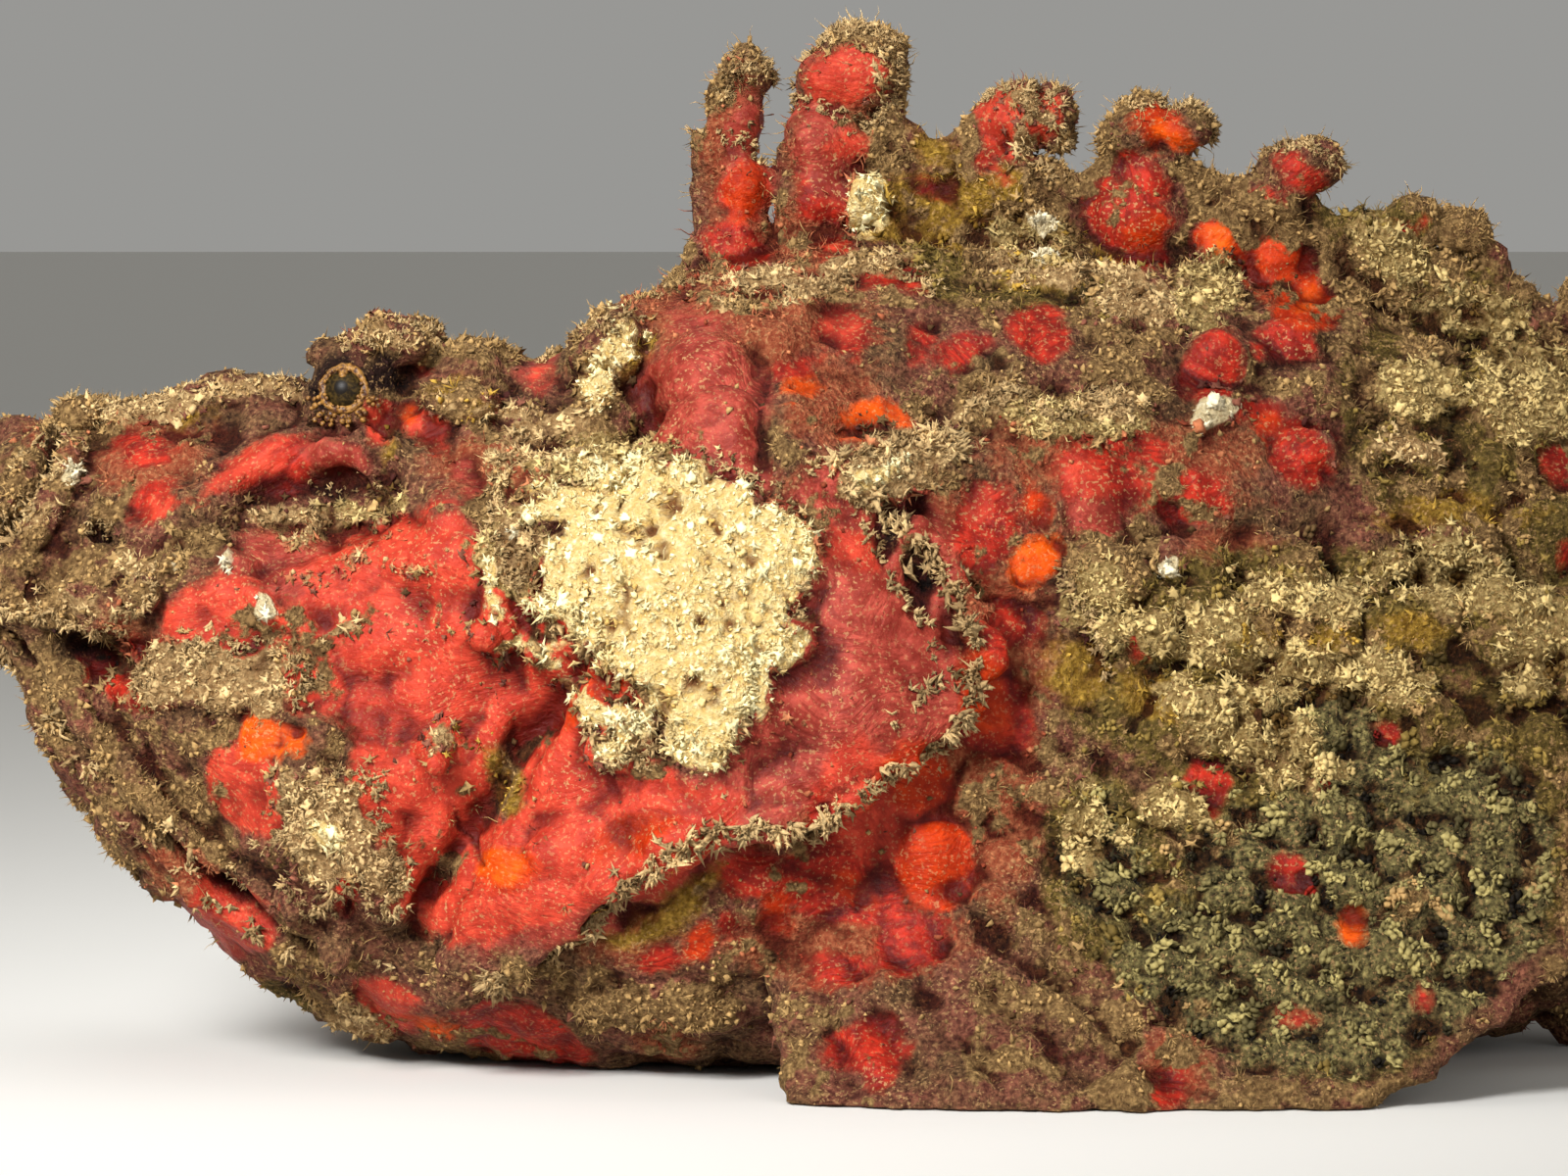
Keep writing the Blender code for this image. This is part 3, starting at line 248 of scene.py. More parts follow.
        "maxilla foot": (400, 895, 3.2, 2.8, 40), "behind the eye": (560, 445, 6.0, 2.0, 24),
        "under the cheek crust": (640, 760, 4.8, 2.6, 30), "cheek knob": (455, 750, 2.0, 2.2, -30),
        "front of the cheek crust": (520, 550, 3.2, 4.6, 20),
        "above the gill cover": (915, 468, 9.0, 3.6, 18), "nape crust": (830, 285, 12, 1.8, 6),
        "shoulder crust": (1000, 420, 6.0, 2.2, 20), "flank crust": (1130, 410, 4.6, 2.6, 10),
        "streak on the cheek": (400, 575, 5.4, 0.5, 6), "streak by the cheek": (330, 640, 6.0, 0.5, 24),
        "second spine rim": (912, 85, 1.1, 4.8, -14), "second spine cap": (878, 36, 4.2, 1.0, 0),
        "third spine rim": (1080, 130, 1.1, 4.6, -8), "middle web": (1080, 275, 8, 2.2, -4),
        "white streaks": (1435, 455, 6.0, 2.0, -8), "web rear": (1160, 300, 6.0, 3.0, 0),
        "third spine cap": (1050, 96, 4.4, 0.9, 0), "first spine cap": (766, 66, 2.2, 0.8, 0),
        "lip foot": (360, 800, 3.0, 2.0, 40),
    },
    "straw": {
        "fin front": (1130, 620, 5.0, 6.0, 10), "fin top": (1215, 640, 6.6, 4.0, 20),
        "fin top middle": (1330, 600, 9.0, 3.6, -6), "fin top rear": (1470, 580, 10, 4.4, -14),
        "fin rear": (1560, 650, 5.4, 7.0, 0), "fin middle": (1270, 750, 12, 5.0, -24),
        "fin shoulder": (1400, 690, 8.0, 3.0, -10), "fin foot front": (1100, 850, 3.6, 5.4, 0),
        "fin front middle": (1190, 830, 6.0, 2.6, 30), "fin upper middle": (1300, 680, 9.0, 4.0, -10),
        "rear flank": (1560, 400, 8.0, 6.4, 0), "rear flank middle": (1440, 400, 5.0, 4.0, 0),
        "high rear flank": (1500, 320, 8.0, 3.4, -20), "rear web": (1420, 250, 5.0, 3.0, -30),
        "flank": (1100, 430, 9.0, 3.4, 0), "flank middle": (1230, 300, 5.0, 4.0, 30),
        "cheek crust top": (610, 470, 9.0, 3.6, 0), "cheek crust front": (520, 555, 4.6, 5.0, 0),
        "under the eye": (350, 525, 8.0, 2.0, 0),
        "web": (1045, 245, 5.0, 3.0, -10),
    },
    "cream": {
        "cheek crust": (690, 590, 14.5, 12.5, 0), "cheek crust top": (635, 498, 9.0, 4.2, -8),
        "cheek crust foot": (725, 705, 6.6, 8.0, 0), "cheek crust front": (590, 590, 5.0, 5.0, 0),
        "cheek crust tail": (790, 570, 4.5, 6.5, 0), "cheek crust shoulder": (560, 515, 5.0, 3.0, 20),
        "cheek crust arm": (545, 648, 7.0, 0.9, -8), "cheek crust lower arm": (600, 705, 5.0, 1.4, -40),
        "cheek crust front arm": (500, 600, 1.0, 4.4, 8), "cheek crust toe": (640, 755, 4.0, 1.6, 30),
        "cheek crust heel": (800, 650, 3.4, 3.0, 0), "crest flap": (626, 372, 3.0, 6.2, -16),
        "web flap": (876, 205, 2.0, 3.6, -24), "maxilla plate": (330, 842, 1.5, 2.4, 28),
        "upper gill cover": (905, 474, 3.6, 1.3, 18),
    },
    "white": {
        "cheek knob": (268, 615, 1.9, 2.2, 20), "snout knob": (176, 580, 0.9, 1.7, 0),
        "snout second knob": (228, 580, 1.2, 1.3, 40), "lip knob": (68, 475, 1.4, 1.5, 0),
        "pit knob": (398, 541, 0.9, 0.6, 0), "second pit knob": (372, 534, 0.6, 0.7, 0),
        "web disc": (1060, 241, 2.3, 1.7, 20), "flank knob": (1243, 423, 2.6, 2.2, 10),
        "fin top knob": (1190, 582, 1.7, 2.0, 0), "crust knob": (517, 545, 0.9, 0.9, 0),
    },
    # The dark kind is painted shade in the gill openings, the mouth, holes, pits, slits and grooves, under
    # the brow and the gill cover and in other shaded places; round the eye it is partly the dark skin there
    "dark": {
        "gill opening": (912, 535, 2.8, 4.4, -34), "gill opening foot": (948, 600, 2.4, 5.0, 0),
        "lip hole": (350, 925, 1.6, 2.4, 0), "mouth": (90, 662, 8.0, 1.8, -26),
        "pit": (325, 500, 4.0, 1.1, -6), "brow shade": (404, 388, 3.6, 4.0, 0),
        "round the eye": (354, 396, 5.4, 5.0, 0),
        "before the eye": (322, 395, 2.0, 3.0, 0), "crevice": (640, 448, 4.0, 1.0, 20),
        "neck groove": (778, 400, 0.7, 6.0, 0), "spine slit": (798, 150, 0.8, 6.0, 0),
        "nostril": (101, 547, 1.6, 1.5, 0), "fold shade": (470, 850, 0.8, 7.0, 30),
        "under the gill cover": (860, 812, 7.0, 0.9, 32),
        "under the gill cover foot": (640, 930, 7.0, 0.9, 26), "gill cover shade": (985, 640, 1.4, 6.0, 0),
        "cheek crust hole": (743, 573, 0.9, 0.8, 0), "second cheek crust hole": (716, 622, 1.0, 1.0, 0),
        "third cheek crust hole": (665, 535, 0.9, 0.6, 0), "eye's side": (330, 400, 1.6, 2.6, 0),
        "web shade": (940, 330, 3.0, 1.0, 0), "flank shade": (1010, 380, 4.0, 1.4, 0),
        "fin foot shade": (1180, 950, 5.0, 1.2, 0),
    },
}

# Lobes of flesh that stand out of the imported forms, as name: (pixel across, pixel down, and half the
# length, depth and height in mm)
MIDLINE_LOBES = {
    "first spine tip": (765, 82, 3.0, 3.0, 3.0), "first spine top": (757, 118, 3.3, 3.6, 4.4),
    "first spine": (756, 188, 4.0, 4.0, 4.8), "first spine foot": (748, 250, 5.2, 4.8, 4.8),
    "second spine cap": (878, 52, 5.6, 4.2, 2.8), "second spine top": (866, 80, 6.8, 5.2, 4.4),
    "second spine": (838, 150, 5.0, 5.0, 5.2), "second spine knob": (880, 150, 3.0, 3.4, 2.8),
    "second spine foot": (836, 200, 4.8, 5.2, 4.8), "web spot": (855, 256, 5.0, 5.0, 3.0),
    "strut top": (912, 122, 1.8, 2.0, 2.6), "strut": (930, 146, 2.0, 2.2, 2.8),
    "strut foot": (948, 172, 2.6, 2.6, 2.8), "third spine top": (1036, 118, 4.6, 4.6, 4.0),
    "third spine rear": (1072, 118, 2.4, 3.6, 4.2), "third spine": (1006, 160, 3.4, 4.0, 2.8),
    "third spine foot": (1020, 195, 4.4, 4.4, 3.6), "fourth spine front": (1170, 128, 3.4, 4.0, 3.2),
    "fourth spine rear": (1206, 134, 3.2, 4.2, 3.0), "fourth spine": (1168, 178, 3.8, 4.6, 3.6),
    "fourth spine foot": (1152, 225, 6.0, 5.4, 5.0), "web lobe": (1246, 246, 4.4, 4.8, 4.4),
    "web lobe rear": (1296, 270, 4.4, 4.6, 4.2), "web lobe foot": (1325, 306, 4.6, 5.0, 4.4),
    "fifth spine top": (1326, 170, 5.2, 4.2, 3.0), "fifth spine": (1292, 205, 4.2, 4.4, 2.6),
    "sixth spine top": (1438, 228, 3.4, 3.4, 2.8), "sixth spine rear": (1492, 238, 3.0, 3.0, 2.2),
}
SIDE_LOBES = {
    "flap under the eye": (348, 466, 4.4, 2.6, 3.0),
    "flap under the eye tip": (374, 484, 1.8, 2.6, 2.2), "smooth flap": (402, 466, 1.4, 1.5, 3.4),
    "dome behind the eye": (470, 410, 4.6, 1.6, 2.6), "spot behind the eye": (424, 434, 1.7, 1.3, 1.6),
    "crest flap": (630, 372, 3.4, 2.6, 5.6), "crest flap foot": (618, 410, 2.0, 2.0, 2.4),
    "cheek bead": (456, 533, 3.0, 1.4, 2.4), "high flank": (1238, 376, 4.4, 1.8, 4.2),
    "high rear flank": (1312, 350, 4.2, 1.8, 3.0), "flank bead": (1055, 578, 2.8, 1.2, 2.6),
    "rear flank": (1330, 462, 4.4, 1.6, 3.2), "breast bead": (958, 880, 4.8, 1.8, 4.4),
    "cheek orange": (275, 752, 3.4, 1.0, 3.0), "breast": (770, 895, 3.4, 1.4, 2.6),
    "brow crust": (395, 352, 5.0, 1.6, 1.6), "web flap": (880, 205, 2.2, 3.0, 3.0),
    "gill cover lobe 1": (998, 668, 3.4, 1.4, 4.2), "gill cover lobe 2": (950, 766, 3.8, 1.4, 3.0),
    "gill cover lobe 3": (868, 812, 3.6, 1.4, 2.6), "gill cover lobe 4": (788, 846, 4.0, 1.4, 2.2),
    "gill cover lobe 5": (692, 868, 3.6, 1.4, 2.4), "gill cover lobe 6": (612, 930, 3.4, 1.4, 2.8),
    "gill cover lobe 7": (922, 548, 2.6, 1.2, 2.8), "second cheek bead": (560, 870, 3.0, 1.0, 2.2),
    "fin top 1": (1125, 600, 4.6, 3.0, 5.4), "fin top 2": (1205, 588, 5.4, 3.2, 4.4),
    "fin top 3": (1300, 590, 6.4, 3.0, 5.6), "fin top 4": (1392, 572, 5.0, 3.2, 4.4),
    "fin top 5": (1480, 565, 6.4, 3.0, 5.8), "fin top 6": (1566, 552, 5.0, 3.0, 5.0),
    "fin face 1": (1160, 668, 4.4, 1.8, 4.8), "fin face 2": (1255, 655, 5.6, 2.0, 4.0),
    "fin face 3": (1345, 660, 4.8, 1.8, 5.6), "fin face 4": (1440, 640, 5.6, 2.0, 4.4),
    "fin face 5": (1535, 650, 5.0, 1.8, 5.4), "fin face 6": (1210, 745, 5.0, 1.6, 3.6),
    "fin face 7": (1330, 760, 4.4, 1.4, 3.8), "fin face 8": (1450, 740, 5.4, 1.4, 3.6),
}

# Folds and hollows of the skin, as name: (pixels along it, radius mm, height mm)
FOLDS = {
    "snout ridge": (((200, 512), (262, 478), (325, 436)), 2.2, 1.5),
    "pit under the eye": (((270, 500), (330, 505), (385, 500)), 3.2, -2.2),
    "hollow under the lid": (((385, 420), (400, 450)), 2.0, -1.0),
    "crevice behind the crest": (((560, 452), (620, 455), (668, 430)), 2.4, -2.4),
    "shoulder": (((690, 450), (725, 415), (720, 385)), 7.0, 2.0),
    "neck groove": (((772, 360), (780, 410), (778, 470)), 1.8, -1.6),
    "shoulder's front edge": (((655, 430), (665, 400)), 1.8, -1.2),
    "cheek fold groove": (((590, 690), (530, 760), (480, 850), (440, 905)), 1.9, -2.0),
    "cheek fold": (((560, 680), (505, 750), (450, 850)), 2.4, 1.3),
    "second cheek fold": (((640, 690), (570, 770), (520, 850)), 2.2, 1.0),
    "third cheek fold": (((700, 790), (610, 850), (540, 905)), 2.6, 0.9),
    "maxilla": (((330, 790), (350, 850), (390, 900)), 5.0, 1.6),
    "maxilla's rear edge": (((415, 890), (395, 930)), 1.6, 1.2),
    "hole in the lip": (((350, 918), (352, 934)), 1.7, -2.6),
    "lip over the mouth": (((10, 620), (60, 628), (105, 640), (150, 600)), 2.0, 1.6),
    "mouth": (((20, 650), (70, 660), (130, 668)), 2.6, -2.6),
    "nostril": (((100, 545), (102, 549)), 1.5, -3.0),
    "gill slit": (((905, 520), (930, 560), (952, 612), (960, 650)), 2.2, -1.5),
    "gill cover rib": (((800, 480), (850, 560), (870, 650), (860, 740)), 3.6, 0.8),
    "second gill cover rib": (((760, 760), (850, 700), (940, 660)), 3.0, 0.7),
    "third gill cover rib": (((620, 900), (720, 840), (840, 790)), 3.0, 0.9),
    "upper cheek fold": (((250, 600), (340, 580), (440, 575), (520, 600)), 2.4, 0.7),
    "lower cheek fold": (((300, 690), (400, 660), (500, 650)), 2.6, 0.8),
}

# Edges with a fringe of crusted cirri, as name: (pixels along it, cirri per mm, least length mm, most)
FRINGES = {
    "gill cover": (
        ((868, 500), (905, 528), (945, 560), (978, 610), (1000, 672), (985, 735), (935, 775), (885, 805),
         (830, 848), (790, 846), (735, 845), (690, 868), (640, 902), (600, 945), (555, 985)),
        1.5, 1.6, 4.2),
    "gill cover's face": (((880, 530), (915, 600), (950, 640), (960, 700), (900, 740)), 0.7, 1.4, 3.0),
    "upper gill cover": (((820, 480), (880, 460), (960, 440), (990, 470)), 1.6, 1.2, 3.2),
    "upper lip": (((85, 460), (60, 480), (30, 510), (8, 545)), 1.2, 1.2, 2.6),
    "nostril": (((88, 540), (98, 532), (112, 540), (114, 552)), 2.4, 0.8, 1.4),
    "flap under the eye": (((318, 490), (335, 500), (358, 500), (378, 502), (392, 490)), 1.2, 0.6, 1.2),
    "cheek crust": (
        ((560, 500), (640, 470), (720, 470), (790, 500), (825, 560), (810, 640), (770, 680), (762, 730)),
        1.6, 0.9, 2.4),
    "cheek crust rear": (((530, 540), (560, 600), (620, 660), (640, 710), (680, 760)), 1.2, 0.9, 2.2),
    "snout plate": (((0, 625), (60, 630), (110, 645), (150, 610), (160, 575)), 2.0, 1.0, 2.4),
    "maxilla": (
        ((285, 905), (320, 935), (345, 905), (370, 900), (395, 935), (410, 900), (395, 850)),
        2.0, 1.0, 2.6),
    "maxilla plate": (((270, 870), (300, 830), (345, 790), (385, 790), (388, 850)), 1.6, 0.8, 2.0),
    "chin plate": (((140, 700), (200, 660), (280, 660), (320, 690), (300, 720)), 1.6, 0.8, 2.2),
    "cheek crust foot": (((600, 740), (650, 780), (700, 750), (745, 765), (770, 700)), 1.6, 1.2, 3.0),
    "cheek crust front": (((520, 470), (500, 540), (530, 600), (570, 640), (620, 680)), 1.8, 1.2, 3.0),
    "crest": (((350, 350), (420, 340), (500, 335), (560, 360), (600, 335), (655, 320)), 1.6, 0.8, 2.2),
    "second spine": (((820, 60), (850, 32), (900, 32), (922, 70), (910, 110), (885, 125)), 3.0, 0.8, 2.0),
    "second spine middle": (((800, 100), (830, 108), (880, 128)), 2.0, 0.8, 1.8),
    "first spine": (((745, 100), (750, 68), (780, 62), (790, 90)), 2.6, 0.8, 2.0),
    "first spine middle": (((735, 145), (760, 140), (790, 170)), 1.8, 0.8, 1.8),
    "third spine": (((1000, 100), (1040, 88), (1080, 95), (1088, 150), (1075, 180)), 2.6, 0.8, 2.2),
    "fourth spine": (((1150, 105), (1200, 105), (1240, 115), (1245, 150)), 2.4, 0.8, 2.2),
    "fifth spine": (((1290, 155), (1340, 148), (1380, 175)), 2.4, 0.8, 2.2),
    "nape": (((670, 300), (720, 285), (800, 300), (900, 270), (960, 300)), 1.4, 0.8, 2.2),
    "flank": (((1000, 410), (1040, 400), (1080, 430), (1130, 395), (1150, 430)), 2.2, 1.0, 2.6),
    "front of the fin": (((1085, 590), (1120, 640), (1130, 700)), 1.6, 1.2, 3.0),
}
TASSEL = (505, 1003)

# Colours, as shade and light: sRGB
COLOURS = {
    "base": ("#2C1A10", "#78583A"), "mauve": ("#45201A", "#8A5440"), "veil": ("#742C1A", "#C07850"),
    "green": ("#34280E", "#967C3E"), "pale": ("#161008", "#AA9A60"), "ochre": ("#5E420E", "#C49C42"),
    "crimson": ("#66120A", "#B42C1A"), "rose": ("#6E2016", "#A64436"), "red": ("#94281A", "#C4422C"),
    "ember": ("#8A1E04", "#BE380C"), "orange": ("#B83C04", "#E0580A"), "crust": ("#4E361E", "#B8945E"),
    "grey": ("#6E4E2C", "#DAB982"), "straw": ("#60461E", "#DABE7E"), "cream": ("#C8A45E", "#FFF0B8"),
    # The dark kind's colours are painted shade, and round the eye partly the dark skin
    "white": ("#B8A47A", "#EADCB8"), "dark": ("#140A06", "#38201A"),
}
SPECK_COLOUR = "#B08A5C"
# Painted shade: the skin's colour is multiplied towards this dark brown in its hollows
HOLLOW_SHADE_COLOUR = "#6A3018"
# The order in which one patch covers another, with its edge mm, and the wander of that edge mm
LAYERS = {
    "veil": (2.4, 3.0), "green": (1.4, 2.4), "pale": (1.4, 2.4), "ochre": (1.4, 1.8), "crimson": (1.2, 1.2),
    "rose": (1.6, 1.4), "red": (1.2, 1.2), "ember": (1.2, 1.0), "orange": (1.0, 0.9), "crust": (0.35, 1.2),
    "straw": (0.5, 1.8), "grey": (0.5, 1.6), "cream": (0.5, 1.4), "white": (0.3, 0.5), "dark": (1.8, 1.2),
}
FLESHY = ("crimson", "rose", "red", "ember", "orange")
# Patches nearer to the middle than this run over it, and others fade past it, by this share of the way past
MIDDLE_BAND = 0.006
FADE_OVER_MIDLINE = 0.8
# How deep a patch's field goes, inside it and outside it
FIELD_REACH_MM = 6.0
# How much the fine crust keeps off or seeks out each kind of patch, in mm
CRUST_LIKING = {
    "veil": -0.25, "crimson": -0.75, "rose": -0.75, "red": -0.85, "ember": -0.9, "orange": -0.9,
    "ochre": -0.3, "green": -0.1, "pale": -1.0,
}

fish = {}


# Colours and nodes


def linear(code):
    """An sRGB hex colour as linear red, green, blue and an alpha of 1."""
    parts = [int(code[i : i + 2], 16) / 255 for i in (1, 3, 5)]
    return (*(c / 12.92 if c <= 0.04045 else ((c + 0.055) / 1.055) ** 2.4 for c in parts), 1.0)


def per_metre(size_mm):
    """The scale that gives a noise texture lumps of this size."""
    return 1000.0 / size_mm


def add_node(tree, kind, inputs=None, **settings):
    """Adds a node with its settings, and its input values or links."""
    node = tree.nodes.new(kind)
    for name, value in settings.items():
        setattr(node, name, value)
    for socket, value in (inputs or {}).items():
        if isinstance(value, bpy.types.NodeSocket):
            tree.links.new(value, node.inputs[socket])
        else:
            node.inputs[socket].default_value = value
    return node


def new_material(name, **values):
    """A material with one Principled BSDF, its node tree, and that node."""
    made = bpy.data.materials.new(name)
    made.use_nodes = True
    tree = made.node_tree
    tree.nodes.clear()
    sockets = {key.replace("_", " "): value for key, value in values.items()}
    shader = add_node(tree, "ShaderNodeBsdfPrincipled", sockets)
    add_node(tree, "ShaderNodeOutputMaterial", {"Surface": shader.outputs[0]})
    return made, tree, shader


# Numbers over many points at once


def lumps(points, size, seed):
    """Smooth noise from -1 to 1 with lumps of this size."""
    grid = np.random.default_rng(seed).uniform(-1, 1, (32, 32, 32))
    place = points / size + 7.31 * seed
    cell = np.floor(place).astype(int)
    part = place - cell
    part = part * part * (3 - 2 * part)
    total = np.zeros(len(points))
    for dx in (0, 1):
        for dy in (0, 1):
            for dz in (0, 1):
                share = (
                    (part[:, 0] if dx else 1 - part[:, 0])
                    * (part[:, 1] if dy else 1 - part[:, 1])
                    * (part[:, 2] if dz else 1 - part[:, 2])
                )
                corner = (cell + (dx, dy, dz)) % 32
                total += share * grid[corner[:, 0], corner[:, 1], corner[:, 2]]
    return total


def pebbles(points, size, seed):
    """How near each point is to the middle of its pebble: 1 at the middle, 0 between the pebbles."""
    jitter = np.random.default_rng(seed).uniform(0.15, 0.85, (16, 16, 16, 3))
    place = points / size
    cell = np.floor(place).astype(int)
    nearest = np.full(len(points), 9.0)
    for dx in (-1, 0, 1):
        for dy in (-1, 0, 1):
            for dz in (-1, 0, 1):
                other = cell + (dx, dy, dz)
                folded = other % 16
                middle = other + jitter[folded[:, 0], folded[:, 1], folded[:, 2]]
                nearest = np.minimum(nearest, ((place - middle) ** 2).sum(1))
    return np.clip(1 - nearest / 0.45, 0, 1)


def unit(vectors):
    return vectors / np.maximum(np.linalg.norm(vectors, axis=-1, keepdims=True), 1e-12)


def corners_of(mesh):
    """A mesh's points and their normals as arrays."""
    points = np.empty(len(mesh.vertices) * 3)
    normals = np.empty(len(mesh.vertices) * 3)
    mesh.vertices.foreach_get("co", points)
    mesh.vertex_normals.foreach_get("vector", normals)
    return points.reshape(-1, 3), normals.reshape(-1, 3)


def triangles_of(mesh):
    mesh.calc_loop_triangles()
    found = np.empty(len(mesh.loop_triangles) * 3, dtype=np.int32)
    mesh.loop_triangles.foreach_get("vertices", found)
    return found.reshape(-1, 3)


def mesh_of(name, points, faces):
    """A mesh of triangles from arrays."""
    mesh = bpy.data.meshes.new(name)
    mesh.vertices.add(len(points))
    mesh.vertices.foreach_set("co", points.astype(np.float32).ravel())
    mesh.loops.add(faces.size)
    mesh.loops.foreach_set("vertex_index", faces.astype(np.int32).ravel())
    mesh.polygons.add(len(faces))
    mesh.polygons.foreach_set("loop_start", np.arange(0, faces.size, 3, dtype=np.int32))
    mesh.update(calc_edges=True)
    mesh.shade_smooth()
    return mesh


def add_piece(name, mesh, finish):
    """A finished piece, riding on the fish's one body."""
    mesh.materials.clear()
    mesh.materials.append(finish)
    made = bpy.data.objects.new(name, mesh)
    bpy.context.scene.collection.objects.link(made)
    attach(made, BODY)
    return made


# Places on the fish


def midline(x):
    """How far the fish's middle plane lies to the side at x, which may be an array."""
    return TAIL_SWEEP * np.maximum(0, (x - JAW_TIP_X - BEND_START) / BEND_LENGTH) ** 2


def sight(across, down):
    """The camera's place and its line of sight through a pixel of the picture."""
    tilt = math.radians(VIEW_ELEVATION)
    forward = Vector((0, math.cos(tilt), -math.sin(tilt)))
    up = Vector((0, math.sin(tilt), math.cos(tilt)))
    per_pixel = VIEW_WIDTH / PICTURE_WIDTH / VIEW_DISTANCE
    line = forward + Vector((1, 0, 0)) * (across - PICTURE_WIDTH / 2) * per_pixel
    line += up * (PICTURE_HEIGHT / 2 - down) * per_pixel
    return VIEW_TARGET - forward * VIEW_DISTANCE, line.normalized()


def point_in_plane(across, down, y):
    """Where a pixel's line of sight meets the upright plane at y."""
    eye, line = sight(across, down)
    return eye + line * ((y - eye.y) / line.y)


def point_on_side(surface, across, down):
    """Where a pixel's line of sight meets the fish, or comes nearest to it."""
    eye, line = sight(across, down)
    hit = surface.ray_cast(eye, line)[0]
    if hit is None:
        middle = midline(point_in_plane(across, down, 0).x)
        hit = surface.find_nearest(point_in_plane(across, down, middle))[0]
    return hit


def other_side(point):
    """The same place on the fish's right side."""
    return Vector((point.x, 2 * float(midline(point.x)) - point.y, point.z))


def path_on_side(surface, pixels, step_mm):
    """Points every step along a line of pixels, on the fish."""
    found = []
    for (x0, y0), (x1, y1) in zip(pixels, pixels[1:]):
        count = max(1, round(math.hypot(x1 - x0, y1 - y0) * MM_PER_PIXEL / step_mm))
        for i in range(count):
            found.append(point_on_side(surface, x0 + (x1 - x0) * i / count, y0 + (y1 - y0) * i / count))
    return found


def placed_patches(surface):
    """Every patch as (kind, centre, half length, half height, turn), on both sides and over the rear."""
    draw = np.random.default_rng(5)
    found = []
    for kind, named in PATCHES.items():
        for across, down, long_mm, high_mm, turn in named.values():
            centre = point_on_side(surface, across, down)
            sizes = (long_mm * MM, high_mm * MM, math.radians(turn))
            found.append((kind, centre, *sizes))
            shift = Vector((draw.uniform(-2.5, 2.5), 0, draw.uniform(-1.5, 1.5))) * MM
            found.append((kind, other_side(centre + shift), *sizes))
    unseen = (
        ("rear", 76, (0.198, 0.310), (0.010, 0.088),
         ("crimson", "crimson", "veil", "orange", "grey", "ochre", "white", "green", "green", "pale")),
        ("chin and belly", 80, (0.012, 0.150), (0.000, 0.036),
         ("crimson", "rose", "red", "veil", "veil", "orange", "grey", "ochre", "green")),
    )
    for _, count, (x0, x1), (z0, z1), kinds in unseen:
        for _ in range(count):
            side = draw.choice((-1, 1))
            x = JAW_TIP_X + draw.uniform(x0, x1)
            centre = Vector((x, float(midline(x)) + side * 0.012, FLOOR_Z + draw.uniform(z0, z1)))
            hidden = FLOOR_Z + max(0.008, 0.045 - 0.75 * (x - JAW_TIP_X))
            if side < 0 and x < JAW_TIP_X + 0.19 and centre.z > hidden:
                continue
            kind = kinds[draw.integers(len(kinds))]
            size = draw.uniform(2.2, 6.5) * MM * {"white": 0.3, "orange": 0.6, "grey": 0.6}.get(kind, 1.0)
            found.append((kind, centre, size * draw.uniform(1.0, 1.7), size, draw.uniform(-0.6, 0.6)))
    return found


def wandering(points):
    """The points moved about a little, which gives the patches the wandering outline of living crust."""
    moved = points.copy()
    for axis in range(3):
        broad, close = lumps(points, 7 * MM, 51 + axis), lumps(points, 2.6 * MM, 54 + axis)
        moved[:, axis] += 1.7 * MM * broad + 0.9 * MM * close
    return moved


def fields_at(points):
    """How deep each point lies in each kind of patch, in mm, negative outside it."""
    moved = wandering(points)
    side_mm = (moved[:, 1] - midline(points[:, 0])) / MM
    fields = {kind: np.full(len(points), -FIELD_REACH_MM) for kind in LAYERS}
    for kind, centre, long, high, turn in fish["patches"]:
        own_side = np.sign(centre.y - midline(centre.x)) or 1.0
        near = np.abs(moved[:, 0] - centre.x) < 2.2 * max(long, high)
        off_middle = abs(centre.y - midline(centre.x)) > MIDDLE_BAND
        beyond = np.maximum(0, -own_side * side_mm[near]) * off_middle
        dx, dz = moved[near, 0] - centre.x, moved[near, 2] - centre.z
        along = (dx * math.cos(turn) + dz * math.sin(turn)) / long
        across = (dz * math.cos(turn) - dx * math.sin(turn)) / high
        inside = (1 - np.hypot(along, across)) * min(long, high) / MM - FADE_OVER_MIDLINE * beyond
        fields[kind][near] = np.maximum(fields[kind][near], inside)
    lobed = 1.1 * lumps(points, 3.4 * MM, 64) + 0.6 * lumps(points, 1.5 * MM, 65)
    for kind in ("straw", "grey", "cream"):
        fields[kind] += lobed
    broad, middling, fine = (lumps(points, size * MM, seed) for size, seed in ((8, 61), (3, 62), (1.4, 63)))
    crust = 2.4 * (0.55 * broad + 0.5 * middling + 0.3 * fine)
    for kind, liking in CRUST_LIKING.items():
        crust += liking * np.clip(fields[kind] + 0.4, 0, 1)
    crust += 0.35 * np.clip((JAW_TIP_X + 0.030 - points[:, 0]) / 0.02, 0, 1)
    flesh = np.maximum.reduce([np.clip(fields[kind] + 0.6, 0, 1) for kind in FLESHY])
    crust += 0.5 * np.clip((points[:, 2] - FLOOR_Z - 0.088) / 0.02, 0, 1) * (1 - flesh)
    fields["crust"] = crust
    return {kind: np.clip(values, -FIELD_REACH_MM, FIELD_REACH_MM) for kind, values in fields.items()}


def nearest_nodes(points):
    """For each point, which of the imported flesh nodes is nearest, as an index into FLESH."""
    find = fish["solids"].find_nearest
    owners = fish["solid_owner"]
    return np.array([owners[find(point)[2]] for point in points])


